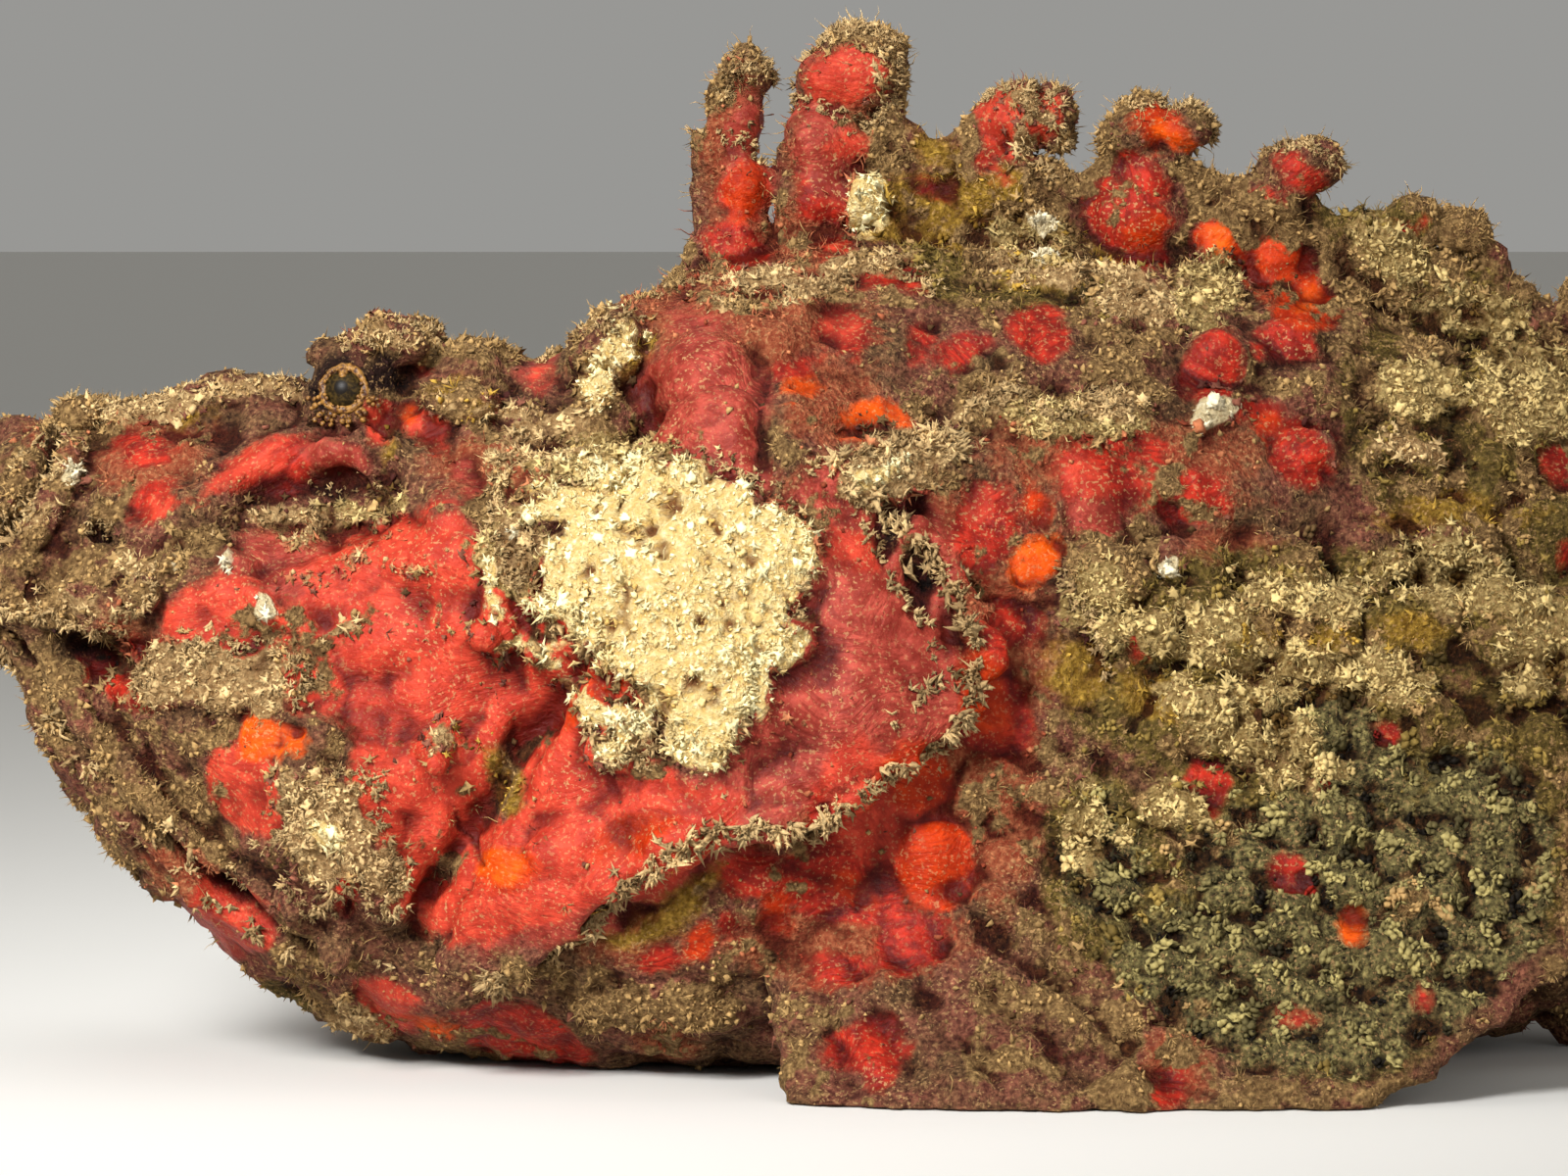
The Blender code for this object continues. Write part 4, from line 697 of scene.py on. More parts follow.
def unwrap(points, nodes):
    """Each point's place on an unwrap of the fish's own shape: its body, and both faces of each fin."""
    x = (points[:, 0] - CAD_BOX[0].x) / (CAD_BOX[1].x - CAD_BOX[0].x)
    side = points[:, 1] - midline(points[:, 0])
    turn = np.arctan2(side, points[:, 2] - FLOOR_Z - 0.045) / (2 * math.pi) + 0.5
    flat = np.column_stack([0.01 + 0.98 * x, 0.42 + 0.56 * turn])
    for k, fin in enumerate(FINS):
        own = nodes == FLESH.index(fin)
        low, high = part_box(fin)
        middle = (low.y + high.y) / 2 if "left" in fin or "right" in fin else None
        face = (side[own] > 0) if middle is None else (points[own, 1] > middle)
        u = np.clip((points[own, 0] - low.x) / (high.x - low.x), 0, 1)
        rise = (points[own, 1] - low.y) / (high.y - low.y) if "pelvic" in fin else (
            (points[own, 2] - low.z) / (high.z - low.z))
        v = np.clip(rise, 0, 1)
        flat[own, 0] = (k + 0.04 + 0.92 * u) / len(FINS)
        flat[own, 1] = 0.01 + 0.20 * face + 0.18 * v
    return flat


# The skin


def add_lobe(clay, centre, radii):
    """A rounded lobe of flesh."""
    sizes = Matrix.Translation(centre) @ Matrix.Diagonal((*radii, 1))
    bmesh.ops.create_icosphere(clay, subdivisions=3, radius=1.0, matrix=sizes)


def model_clay():
    """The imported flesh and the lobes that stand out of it, as one mesh of closed surfaces."""
    clay = bmesh.new()
    owners, mouth_sides = [], []
    for index, name in enumerate(FLESH):
        part = bmesh.new()
        part.from_mesh(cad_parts[name].data)
        bmesh.ops.remove_doubles(part, verts=part.verts, dist=1e-6)
        joined = bpy.data.meshes.new(name)
        part.to_mesh(joined)
        if name in ("head", "lower_jaw"):
            mouth_sides.append(BVHTree.FromBMesh(part))
        part.free()
        clay.from_mesh(joined)
        bpy.data.meshes.remove(joined)
        owners += [index] * (len(clay.faces) - len(owners))
    fish["mouth_sides"] = mouth_sides
    surface = BVHTree.FromBMesh(clay)
    fish["solids"], fish["solid_owner"] = surface, owners
    fish["patches"] = placed_patches(surface)

    for across, down, *radii in MIDLINE_LOBES.values():
        centre = point_in_plane(across, down, 0)
        centre = point_in_plane(across, down, float(midline(centre.x)))
        add_lobe(clay, centre, [r * MM for r in radii])
    for across, down, *radii in SIDE_LOBES.values():
        centre = point_on_side(surface, across, down)
        for place in (centre, other_side(centre)):
            add_lobe(clay, place, [r * MM for r in radii])
    mesh = bpy.data.meshes.new("clay")
    clay.to_mesh(mesh)
    clay.free()
    return mesh


def through_modifiers(mesh, *steps):
    """The mesh as these modifiers leave it, each as (type, settings)."""
    carrier = bpy.data.objects.new("carrier", mesh)
    bpy.context.scene.collection.objects.link(carrier)
    for kind, settings in steps:
        modifier = carrier.modifiers.new(kind.lower(), kind)
        for name, value in settings.items():
            setattr(modifier, name, value)
    graph = bpy.context.evaluated_depsgraph_get()
    made = bpy.data.meshes.new_from_object(carrier.evaluated_get(graph))
    bpy.data.objects.remove(carrier)
    bpy.data.meshes.remove(mesh)
    return made


def near_path(points, path):
    """Each point's distance from a path."""
    nearest = np.full(len(points), 1.0)
    for a, b in zip(path, path[1:]):
        start, step = np.array(a), np.array(b) - np.array(a)
        share = np.clip((points - start) @ step / max(step @ step, 1e-12), 0, 1)
        nearest = np.minimum(nearest, np.linalg.norm(points - start - share[:, None] * step, axis=1))
    return nearest


def fold_heights(points):
    """How far the named folds and hollows lift each point, in metres."""
    height = np.zeros(len(points))
    for pixels, radius, rise in FOLDS.values():
        path = [point_on_side(fish["solids"], *pixel) for pixel in pixels]
        for own in (path, [other_side(point) for point in path]):
            height += rise * MM * np.exp(-((near_path(points, own) / (radius * MM)) ** 2))
    return height


def from_mouth(points):
    """How far each point lies from the closed mouth's line, in mm, and how fully the mouth shows there."""
    near = (points[:, 0] < MOUTH_CORNER_X) & (points[:, 2] > MOUTH_CORNER_Z)
    away = np.full(len(points), FAR_FROM_MOUTH_MM)
    head, jaw = fish["mouth_sides"]
    away[near] = [max(head.find_nearest(p)[3], jaw.find_nearest(p)[3]) / MM for p in points[near]]
    away[near] += MOUTH_WANDER_MM * lumps(points[near], 6 * MM, 71)
    return away, np.clip((points[:, 2] - MOUTH_CORNER_Z) / (8 * MM), 0, 1)


def with_mouth(points, height):
    """The heights with the mouth's slit and its rolled lips in them, smoother than the crust around."""
    away, fullness = from_mouth(points)
    lips = LIP_RISE_MM * np.exp(-(((away - LIP_FROM_MOUTH_MM) / LIP_WIDTH_MM) ** 2))
    slit = MOUTH_DEPTH_MM * np.exp(-((away / MOUTH_WIDTH_MM) ** 2))
    calm = 1 - 0.7 * fullness * np.exp(-((away / 4.5) ** 2))
    return height * calm + fullness * (lips - slit) * MM


def shown(field, edge=1.0, start=-0.3):
    """How fully a patch shows, from 0 to 1, at a depth in mm."""
    return np.clip((field - start) / edge, 0, 1)


def relief_heights(points, fields, settings):
    """How far the skin's crusts, warts and granules lift each point, in metres."""
    fleshy = np.maximum.reduce([shown(fields[kind]) for kind in FLESHY])
    cream, white = shown(fields["cream"]), shown(fields["white"], 0.6)
    grey = np.maximum(shown(fields["grey"], 0.8), shown(fields["straw"], 0.8))
    green, pale, dark = shown(fields["green"], 2.0), shown(fields["pale"], 2.0), shown(fields["dark"])
    crust = shown(fields["crust"], 0.8, -0.2)
    bare = 1 - fleshy
    rough = 0.55 * lumps(points, 3.4 * MM, 21) + 0.45 * lumps(points, 1.6 * MM, 22)
    fine = lumps(points, 1.5 * MM, 28)
    uneven = np.clip(0.5 + 0.9 * lumps(points, 8 * MM, 35), 0, 1)
    warts = pebbles(points, 6.5 * MM, 24)
    height = settings.wart_height * warts * bare * (1 - cream) * (0.3 + 1.1 * uneven)
    height += 0.5 * MM * lumps(points, 9 * MM, 23)
    height += settings.crust_depth * rough * (0.25 + 0.75 * bare)
    clumps = 0.6 * pebbles(points, 3.2 * MM, 33) * uneven
    clumps += 0.7 * np.clip(lumps(points, 2.3 * MM, 36) + 0.2, 0, 1)
    height += np.maximum(crust, grey) * (0.30 + 0.35 * fine + 0.75 * clumps) * MM
    grains = pebbles(points, 4.6 * MM, 29)
    height += bare * green * (1 - pale) * ((0.6 + 1.0 * uneven) * MM * grains - 0.5 * MM)
    grains = pebbles(points, settings.granule_size, 25)
    height += bare * pale * ((0.8 + 1.1 * uneven) * MM * grains - 0.7 * MM)
    swells, beads = pebbles(points, 8.5 * MM, 30), pebbles(points, 2.6 * MM, 26)
    height += fleshy * (0.9 * MM * swells + 0.3 * MM * beads - 0.3 * MM)
    pits = np.clip((pebbles(points, 6.8 * MM, 34) - 0.86) / 0.12, 0, 1) * uneven
    height += cream * (0.9 + 0.8 * pebbles(points, 5.0 * MM, 27) + 0.6 * fine - 1.6 * pits) * MM
    height += grey * 0.4 * MM + white * (1 - cream) * 1.2 * MM
    height -= dark * 0.9 * MM
    return height


def keep_clear_of_eyes(points, height):
    """Fades the relief out round each eye, so that the lids stay round."""
    for centre in (EYE_CENTRE, other_side(EYE_CENTRE)):
        away = np.linalg.norm(points - np.array(centre), axis=1)
        height = height * np.clip((away - 4.4 * MM) / (2.5 * MM), 0, 1)
    return height


def shape_skin(settings):
    """One skin over all the flesh, with its folds, warts and crusts, finest on the head."""
    mesh = through_modifiers(
        model_clay(),
        ("REMESH", {"mode": "VOXEL", "voxel_size": settings.voxel}),
        ("SMOOTH", {"factor": 0.5, "iterations": 3}),
    )
    points, normals = corners_of(mesh)
    fields = fields_at(points)
    height = keep_clear_of_eyes(points, fold_heights(points) + relief_heights(points, fields, settings))
    height = with_mouth(points, height)
    points = points + normals * height[:, None]
    points[:, 2] = np.maximum(points[:, 2], CAD_BOX[0].z)
    mesh.vertices.foreach_set("co", points.astype(np.float32).ravel())
    mesh.update()
    share = min(1.0, settings.triangles / len(triangles_of(mesh)))
    mesh = through_modifiers(mesh, ("DECIMATE", {"ratio": share}), ("TRIANGULATE", {}))
    mesh.shade_smooth()
    return mesh


def hollow_depths(mesh, points, normals, rounds=7):
    """How far each point lies below its neighbourhood, in mm."""
    ends = np.empty(len(mesh.edges) * 2, dtype=np.int32)
    mesh.edges.foreach_get("vertices", ends)
    first, second = ends.reshape(-1, 2).T
    count = np.bincount(first, minlength=len(points)) + np.bincount(second, minlength=len(points))
    level = points.copy()
    for _ in range(rounds):
        total = np.empty_like(level)
        for axis in range(3):
            total[:, axis] = np.bincount(first, level[second, axis], len(points))
            total[:, axis] += np.bincount(second, level[first, axis], len(points))
        level = total / np.maximum(count, 1)[:, None]
    return ((level - points) * normals).sum(1) / MM


def store_fields(mesh):
    """Keeps each patch field on the mesh, for its material."""
    points, normals = corners_of(mesh)
    fields = fields_at(points)
    away, fullness = from_mouth(points)
    # Painted shade: the closed mouth's slit is added to the dark kind
    fields["dark"] = np.maximum(fields["dark"], np.where(fullness > 0.2, 2.0 - away, -6.0))
    fish["lips"] = fullness * np.exp(-(((away - LIP_FROM_MOUTH_MM) / 0.8) ** 2))
    stored = {f"{kind}_mm": values for kind, values in fields.items()}
    # The hollow depths drive the painted shade in the skin's material and in the planted pieces' tints
    stored["hollow_mm"] = hollow_depths(mesh, points, normals)
    for name, values in stored.items():
        mesh.attributes.new(name, "FLOAT", "POINT").data.foreach_set("value", values.astype(np.float32))
    fish["points"], fish["normals"] = points, normals
    fish["fields"] = {**fields, "hollow": stored["hollow_mm"]}
    fish["triangles"] = triangles_of(mesh)
    fish["skin"] = BVHTree.FromPolygons([tuple(p) for p in points], [tuple(t) for t in fish["triangles"]])


def skin_finish():
    """Living fish skin overgrown with sponge, algae and lime crust: moist where red, dull elsewhere, with
    painted shade in its hollows, crumb gaps and dark patches.
    """
    made, tree, shader = new_material(
        "Encrusted_living_skin", Roughness=0.6, IOR=1.4, Specular_IOR_Level=0.16)
    place = add_node(tree, "ShaderNodeTexCoord").outputs["Object"]

    def grain(size_mm, detail=3.0, vector=place):
        sized = {"Vector": vector, "Scale": per_metre(size_mm), "Detail": detail, "Roughness": 0.6}
        return add_node(tree, "ShaderNodeTexNoise", sized).outputs["Fac"]

    def between(factor, low, high, kind="FLOAT", blend="MIX"):
        node = add_node(tree, "ShaderNodeMix", data_type=kind, blend_type=blend)
        first = {"FLOAT": 2, "RGBA": 6}[kind]
        for socket, value in ((0, factor), (first, low), (first + 1, high)):
            if isinstance(value, bpy.types.NodeSocket):
                tree.links.new(value, node.inputs[socket])
            else:
                node.inputs[socket].default_value = value
        return node.outputs[{"FLOAT": 0, "RGBA": 2}[kind]]

    def spread(value, low, high, to_low=0.0, to_high=1.0):
        settings = {"Value": value, "From Min": low, "From Max": high, "To Min": to_low, "To Max": to_high}
        return add_node(tree, "ShaderNodeMapRange", settings).outputs[0]

    def maths(operation, *values):
        return add_node(tree, "ShaderNodeMath", dict(enumerate(values)), operation=operation).outputs[0]

    fine = spread(grain(0.7, 4.0), 0.34, 0.66)
    cells = add_node(tree, "ShaderNodeTexVoronoi", {"Vector": place, "Scale": per_metre(1.1)})
    crumb = spread(cells.outputs["Distance"], 0.62, 0.12)
    middling = spread(grain(2.6, 5.0), 0.36, 0.66)
    broad = spread(grain(7.0, 4.0), 0.40, 0.60)
    # Painted shade: the crusts are darker in the gaps between the crumbs, where the bump is low too; the
    # fine noise is their own grain
    crumb_gap_shade = spread(crumb, 0.0, 1.0, 0.35, 1.0)
    grain_and_gap_shade = maths("MULTIPLY", fine, crumb_gap_shade)

    bend = add_node(tree, "ShaderNodeTexNoise", {"Vector": place, "Scale": per_metre(16), "Detail": 1.0})
    bent = add_node(
        tree, "ShaderNodeVectorMath", {0: bend.outputs["Color"], 1: (0.022, 0.022, 0.022), 2: place},
        operation="MULTIPLY_ADD").outputs[0]
    turned = add_node(
        tree, "ShaderNodeMapping",
        {"Vector": bent, "Rotation": (0, math.radians(-32), 0), "Scale": (0.16, 1.0, 1.0)})
    striae = grain(0.8, 3.0, turned.outputs[0])
    lines = spread(striae, 0.40, 0.52, 0.3, 1.0)

    base = between(fine, linear(COLOURS["base"][0]), linear(COLOURS["base"][1]), "RGBA")
    mauve = between(fine, linear(COLOURS["mauve"][0]), linear(COLOURS["mauve"][1]), "RGBA")
    colour = between(broad, base, mauve, "RGBA")
    flesh_tone = maths("MULTIPLY", middling, lines)
    wander = grain(1.5, 5.0)
    soft = 0.0
    for kind, (edge, amount) in LAYERS.items():
        depth = add_node(tree, "ShaderNodeAttribute", attribute_name=f"{kind}_mm").outputs["Fac"]
        total = maths("ADD", depth, maths("MULTIPLY_ADD", wander, amount * 2, -amount))
        seen = spread(total, 0.0, edge)
        tone = flesh_tone if kind in FLESHY else grain_and_gap_shade
        own = between(tone, linear(COLOURS[kind][0]), linear(COLOURS[kind][1]), "RGBA")
        colour = between(seen, colour, own, "RGBA")
        soft = between(seen, soft, 1.0 if kind in FLESHY else 0.0)
    dust = spread(grain(0.5, 2.0), 0.57, 0.64)
    dustiness = spread(grain(9.0, 3.0), 0.35, 0.65, 0.15, 0.75)
    dusty = maths("MULTIPLY", maths("MULTIPLY", dust, dustiness), spread(soft, 0.0, 1.0, 1.0, 0.85))
    colour = between(dusty, colour, linear(SPECK_COLOUR), "RGBA")
    # Painted shade: the colour is multiplied towards a dark brown where the skin lies below its
    # neighbourhood
    hollow = add_node(tree, "ShaderNodeAttribute", attribute_name="hollow_mm").outputs["Fac"]
    painted_hollow_shade = spread(hollow, 0.04, 0.60, 0.0, 0.9)
    colour = between(painted_hollow_shade, colour, linear(HOLLOW_SHADE_COLOUR), "RGBA", "MULTIPLY")
    tree.links.new(colour, shader.inputs["Base Color"])
    tree.links.new(spread(soft, 0.0, 1.0, 0.85, 0.5), shader.inputs["Roughness"])

    grit = maths("ADD", grain_and_gap_shade, fine)
    ripple = maths("MULTIPLY_ADD", fine, 0.25, striae)
    height = between(soft, grit, spread(ripple, 0.0, 1.0, 0.0, 0.7))
    bump = add_node(tree, "ShaderNodeBump", {"Height": height, "Strength": 0.8, "Distance": 0.5 * MM})
    tree.links.new(bump.outputs[0], shader.inputs["Normal"])
    return made


# Crusts and cirri: small shapes, planted in great numbers


def shape_points(shape):
    """A small shape's points and triangles, and frees it."""
    bmesh.ops.remove_doubles(shape, verts=shape.verts, dist=1e-5)
    bmesh.ops.triangulate(shape, faces=shape.faces[:])
    bmesh.ops.recalc_face_normals(shape, faces=shape.faces[:])
    shape.verts.index_update()
    points = np.array([tuple(corner.co) for corner in shape.verts])
    faces = np.array([[corner.index for corner in face.verts] for face in shape.faces])
    shape.free()
    return points, faces


BAND_SWELL = 1.25


def add_arm(shape, root, heading, long, radius, sides, bands, draw, kink=0.09):
    """Adds one tapered arm, bent a little at each band along it."""
    lift = Matrix.Translation((0, 0, long / 2))
    before = set(shape.verts)
    bmesh.ops.create_cone(
        shape, cap_ends=True, cap_tris=False, segments=sides, radius1=radius, radius2=0.0, depth=long,
        matrix=lift)
    for k in range(bands):
        own = [corner for corner in shape.verts if corner not in before]
        edges = {edge for corner in own for edge in corner.link_edges}
        faces = {face for corner in own for face in corner.link_faces}
        cut = bmesh.ops.bisect_plane(
            shape, geom=[*own, *edges, *faces], plane_co=(0, 0, long * (k + 1) / (bands + 1)),
            plane_no=(0, 0, 1))
        bend = Vector((draw.uniform(-kink, kink), draw.uniform(-kink, kink), 0))
        for item in cut["geom_cut"]:
            if isinstance(item, bmesh.types.BMVert):
                middle = Vector((0, 0, item.co.z))
                item.co = middle + (item.co - middle) * BAND_SWELL + bend
    lie = Vector((0, 0, 1)).rotation_difference(heading).to_matrix().to_4x4()
    own = [corner for corner in shape.verts if corner not in before]
    bmesh.ops.transform(shape, matrix=Matrix.Translation(root) @ lie, verts=own)


def heading_of(lean, turn):
    """The direction that leans this far from upright, in radians, towards a turn about it."""
    return Vector((math.sin(lean) * math.cos(turn), math.sin(lean) * math.sin(turn), math.cos(lean)))


def cirrus_tuft(count, spread_degrees, thickness, seed=1, bands=1):
    """Tapered cirri from one root, of about unit height."""
    draw = np.random.default_rng(seed)
    shape = bmesh.new()
    for i in range(count):
        lean = math.radians(spread_degrees) * math.sqrt((i + 0.3) / count)
        heading = heading_of(lean, 2.4 * i + draw.uniform(-0.3, 0.3))
        add_arm(shape, Vector((0, 0, -0.08)), heading, draw.uniform(0.75, 1.05), thickness, 3, bands, draw)
    return shape_points(shape)


def lace_star(arms, seed):
    """A torn scrap of crusted skin: flat pronged arms from one knob."""
    draw = np.random.default_rng(seed)
    shape = bmesh.new()
    for i in range(arms):
        turn = 2 * math.pi * (i + draw.uniform(-0.3, 0.3)) / arms
        lean = math.radians(draw.uniform(20, 80))
        heading = heading_of(lean, turn)
        long = draw.uniform(0.6, 1.0)
        add_arm(shape, Vector((0, 0, -0.1)), heading, long, 0.17, 4, 1, draw, kink=0.05)
        for prong in (-1, 1):
            root = heading * long * draw.uniform(0.35, 0.6)
            off = heading_of(lean * 0.7, turn + prong * draw.uniform(0.7, 1.3))
            add_arm(shape, root, off, long * draw.uniform(0.25, 0.45), 0.08, 3, 0, draw)
    return shape_points(shape)


def ragged_flake(prongs, seed, cup=0.45, thickness=0.14):
    """A thin scrap of lime crust with a torn rim: prongs and notches by turns, a little cupped."""
    draw = np.random.default_rng(seed)
    count = 2 * prongs
    ring = np.arange(count)
    turn = 2 * math.pi * (ring + draw.uniform(-0.3, 0.3, count)) / count
    out = np.where(ring % 2 == 0, draw.uniform(0.7, 1.2, count), draw.uniform(0.22, 0.5, count))
    rise = cup * out**2 + draw.uniform(-0.12, 0.25, count)
    points = np.vstack([
        np.column_stack([np.cos(turn) * out, np.sin(turn) * out, rise]),
        (0, 0, thickness), (0, 0, -2 * thickness)])
    after = np.roll(ring, -1)
    upper = np.column_stack([ring, after, np.full(count, count)])
    lower = np.column_stack([after, ring, np.full(count, count + 1)])
    return points, np.vstack([upper, lower])


def rosette(scales, seed):
    """A frilled granule: small rounded scales that overlap round one root."""
    draw = np.random.default_rng(seed)
    all_points, all_faces = [], []
    ring = np.arange(6)
    after = np.roll(ring, -1)
    for i in range(scales):
        turn = 2 * math.pi * (i + draw.uniform(-0.25, 0.25)) / scales
        heading = np.array(heading_of(draw.uniform(0.5, 1.25), turn))
        side = np.array((-math.sin(turn), math.cos(turn), 0.0))
        face = np.cross(heading, side)
        angle = 2 * math.pi * (ring + draw.uniform(-0.2, 0.2, 6)) / 6
        reach = 0.55 * draw.uniform(0.75, 1.2, 6)
        middle = heading * draw.uniform(0.40, 0.60)
        rim = middle + np.outer(np.cos(angle) * reach, heading)
        rim = rim + np.outer(np.sin(angle) * reach * 0.8, side)
        first = len(all_points) * 8
        all_points.append(np.vstack([rim, middle + face * 0.17, middle - face * 0.17]))
        all_faces.append(first + np.column_stack([ring, after, np.full(6, 6)]))
        all_faces.append(first + np.column_stack([after, ring, np.full(6, 7)]))
    return np.vstack(all_points), np.vstack(all_faces)


def knobbly_ball(subdivisions, roughness, seed, flatness=1.0, frill=0.0):
    """A ball with an uneven surface and, where asked, a frilled and cupped rim."""
    shape = bmesh.new()
    bmesh.ops.create_icosphere(shape, subdivisions=subdivisions, radius=1.0)
    for corner in shape.verts:
        direction = corner.co.normalized()
        swell = 1 + roughness * noise.noise(direction * 1.9 + Vector((seed, 0, 0)) * 5.1)
        turn = math.atan2(direction.y, direction.x)
        out = math.hypot(direction.x, direction.y)
        swell += frill * out**2 * math.sin(5 * turn + seed)
        corner.co = direction * swell
        corner.co.z = corner.co.z * flatness + frill * 0.9 * out**2
    return shape_points(shape)


def sown(count, weight, seed):
    """Root places on the skin, thickest where the weight given for each of its points is high."""
    rng = np.random.default_rng(seed)
    triangles, points = fish["triangles"], fish["points"]
    a, b, c = (points[triangles[:, i]] for i in range(3))
    area = np.linalg.norm(np.cross(b - a, c - a), axis=1) / 2
    chance = area * weight[triangles].mean(1)
    chosen = rng.choice(len(triangles), size=count, p=chance / chance.sum())
    u, v = rng.random(count), rng.random(count)
    over = u + v > 1
    u[over], v[over] = 1 - u[over], 1 - v[over]
    shares = np.stack([1 - u - v, u, v], axis=1)[:, :, None]
    corners = triangles[chosen]
    return {
        "place": (points[corners] * shares).sum(1),
        "normal": unit((fish["normals"][corners] * shares).sum(1)),
        "fields": {kind: values[corners].mean(1) for kind, values in fish["fields"].items()},
    }


def sown_on(places, jitter_mm, seed):
    """Root places on the skin nearest to the given points, moved about a little."""
    rng = np.random.default_rng(seed)
    found, normals = [], []
    for place in places:
        moved = place + Vector(rng.normal(0, jitter_mm * MM, 3))
        hit, normal, _, _ = fish["skin"].find_nearest(moved)
        found.append(tuple(hit))
        normals.append(tuple(normal))
    found = np.array(found)
    return {"place": found, "normal": np.array(normals), "fields": fields_at(found)}


def greyed(roots):
    """The roots as if all stood in grey crust, except in the cream and the white."""
    count = len(roots["place"])
    grey, dark = np.full(count, FIELD_REACH_MM), np.full(count, -FIELD_REACH_MM)
    return {**roots, "fields": {**roots["fields"], "grey": grey, "dark": dark}}


def tints(roots, rng, lighten=0.0, skip=()):
    """A colour for each root from its patches, lighter on the clumps, and darker in the hollows by painted
    shade.
    """
    fields, places = roots["fields"], roots["place"]
    count = len(places)
    clumps = 0.5 + 0.6 * lumps(places, 2.8 * MM, 71) + 0.5 * lumps(places, 1.2 * MM, 72)
    mix = 0.35 * rng.random(count) + 0.65 * np.clip(clumps, 0, 1) + lighten
    # Painted shade: roots in the skin's hollows get darker tints
    mix -= 0.7 * np.clip(fields.get("hollow", np.zeros(count)) / 0.5, -0.3, 1)
    mix = np.clip(mix, 0, 1)[:, None]

    def tone(kind):
        low, high = (np.array(linear(code)[:3]) for code in COLOURS[kind])
        return low + (high - low) * mix

    mauve = lumps(places, 5 * MM, 73) + rng.normal(0, 0.2, count) > 0.30
    colour = np.where(mauve[:, None], tone("mauve"), tone("crust"))
    for kind, (edge, amount) in LAYERS.items():
        if kind not in skip:
            seen = fields[kind] + rng.uniform(-amount, amount, count) * 0.5 > edge / 2
            colour = np.where(seen[:, None], tone(kind), colour)
    return colour


def plant(name, shapes, roots, sizes_mm, colours, finish, seed, lean=0.3, wild=0.3, jitter=0.06,
          sink=0.15, painted_tip_light=0.25):
    """Plants a copy of a shape at each root, as one piece. Sizes are length, width and depth."""
    rng = np.random.default_rng(seed)
    places, normals = roots["place"], roots["normal"]
    count = len(places)
    rearward = np.array((0.75, 0.0, -0.65))
    ups = unit(normals + rearward * lean + rng.normal(0, wild, (count, 3)))
    helper = np.where(np.abs(ups[:, 2:3]) < 0.9, np.array((0.0, 0.0, 1.0)), np.array((1.0, 0.0, 0.0)))
    first = unit(np.cross(ups, helper))
    second = np.cross(ups, first)
    spin = rng.uniform(0, 2 * math.pi, count)[:, None]
    across = first * np.cos(spin) + second * np.sin(spin)
    other = np.cross(ups, across)
    nodes = nearest_nodes(places)
    flat = unwrap(places, nodes)
    all_points, all_faces, all_colours, all_flat = [], [], [], []
    offset = 0
    kind_of = rng.integers(len(shapes), size=count)
    for k, (points, faces) in enumerate(shapes):
        own = np.flatnonzero(kind_of == k)
        if not len(own):
            continue
        local = points[None] + rng.normal(0, jitter, (len(own), *points.shape))
        local = local * sizes_mm[own][:, None, :] * MM
        local[..., 2] -= sink * sizes_mm[own][:, None, 2] * MM
        world = places[own][:, None] + (
            local[..., :1] * across[own][:, None] + local[..., 1:2] * other[own][:, None]
            + local[..., 2:] * ups[own][:, None])
        rise = np.clip(points[:, 2], 0, 1)[None, :, None]
        # Painted light and shade: each copy is darker at its root and lighter towards its tip
        shade = colours[own][:, None] * (1 - painted_tip_light + painted_tip_light * 1.7 * rise)
        patch = np.clip(points[:, (0, 2)] * (0.5, 0.5), -0.5, 0.5) * 0.003
        spot = flat[own][:, None] + patch[None]
        starts = offset + np.arange(len(own)) * len(points)
        all_faces.append((faces[None] + starts[:, None, None]).reshape(-1, 3))
        all_points.append(world.reshape(-1, 3))
        all_colours.append(np.clip(shade, 0, 1).reshape(-1, 3))
        all_flat.append(spot.reshape(-1, 2))
        offset += len(own) * len(points)
    points, faces = np.concatenate(all_points), np.concatenate(all_faces)
    points[:, 2] = np.maximum(points[:, 2], CAD_BOX[0].z)
    mesh = mesh_of(name, points, faces)
    colour = np.column_stack([np.concatenate(all_colours), np.ones(len(points))])
    tint = mesh.attributes.new("tint", "FLOAT_COLOR", "POINT")
    tint.data.foreach_set("color", colour.astype(np.float32).ravel())
    bake_map = mesh.uv_layers.new(name="OFBake")
    bake_map.data.foreach_set("uv", np.concatenate(all_flat)[faces.ravel()].astype(np.float32).ravel())
    return add_piece(name, mesh, finish)


def crust_finish(name, roughness, grain_mm, depth_mm):
    """A living crust in its own tint, flecked at the size of its grains."""
    made, tree, shader = new_material(name, Roughness=roughness, IOR=1.4, Specular_IOR_Level=0.2)
    place = add_node(tree, "ShaderNodeTexCoord").outputs["Object"]
    tint = add_node(tree, "ShaderNodeAttribute", attribute_name="tint").outputs["Color"]
    sized = {"Vector": place, "Scale": per_metre(grain_mm), "Detail": 3.0}
    grain = add_node(tree, "ShaderNodeTexNoise", sized).outputs["Fac"]
    fleck = add_node(
        tree, "ShaderNodeMapRange",
        {"Value": grain, "From Min": 0.3, "From Max": 0.7, "To Min": 0.72, "To Max": 1.18})
    scaled = add_node(tree, "ShaderNodeVectorMath", {0: tint, 1: fleck.outputs[0]}, operation="MULTIPLY")
    bump = add_node(tree, "ShaderNodeBump", {"Height": grain, "Strength": 0.6, "Distance": depth_mm * MM})
    tree.links.new(scaled.outputs[0], shader.inputs["Base Color"])
    tree.links.new(bump.outputs[0], shader.inputs["Normal"])
    return made


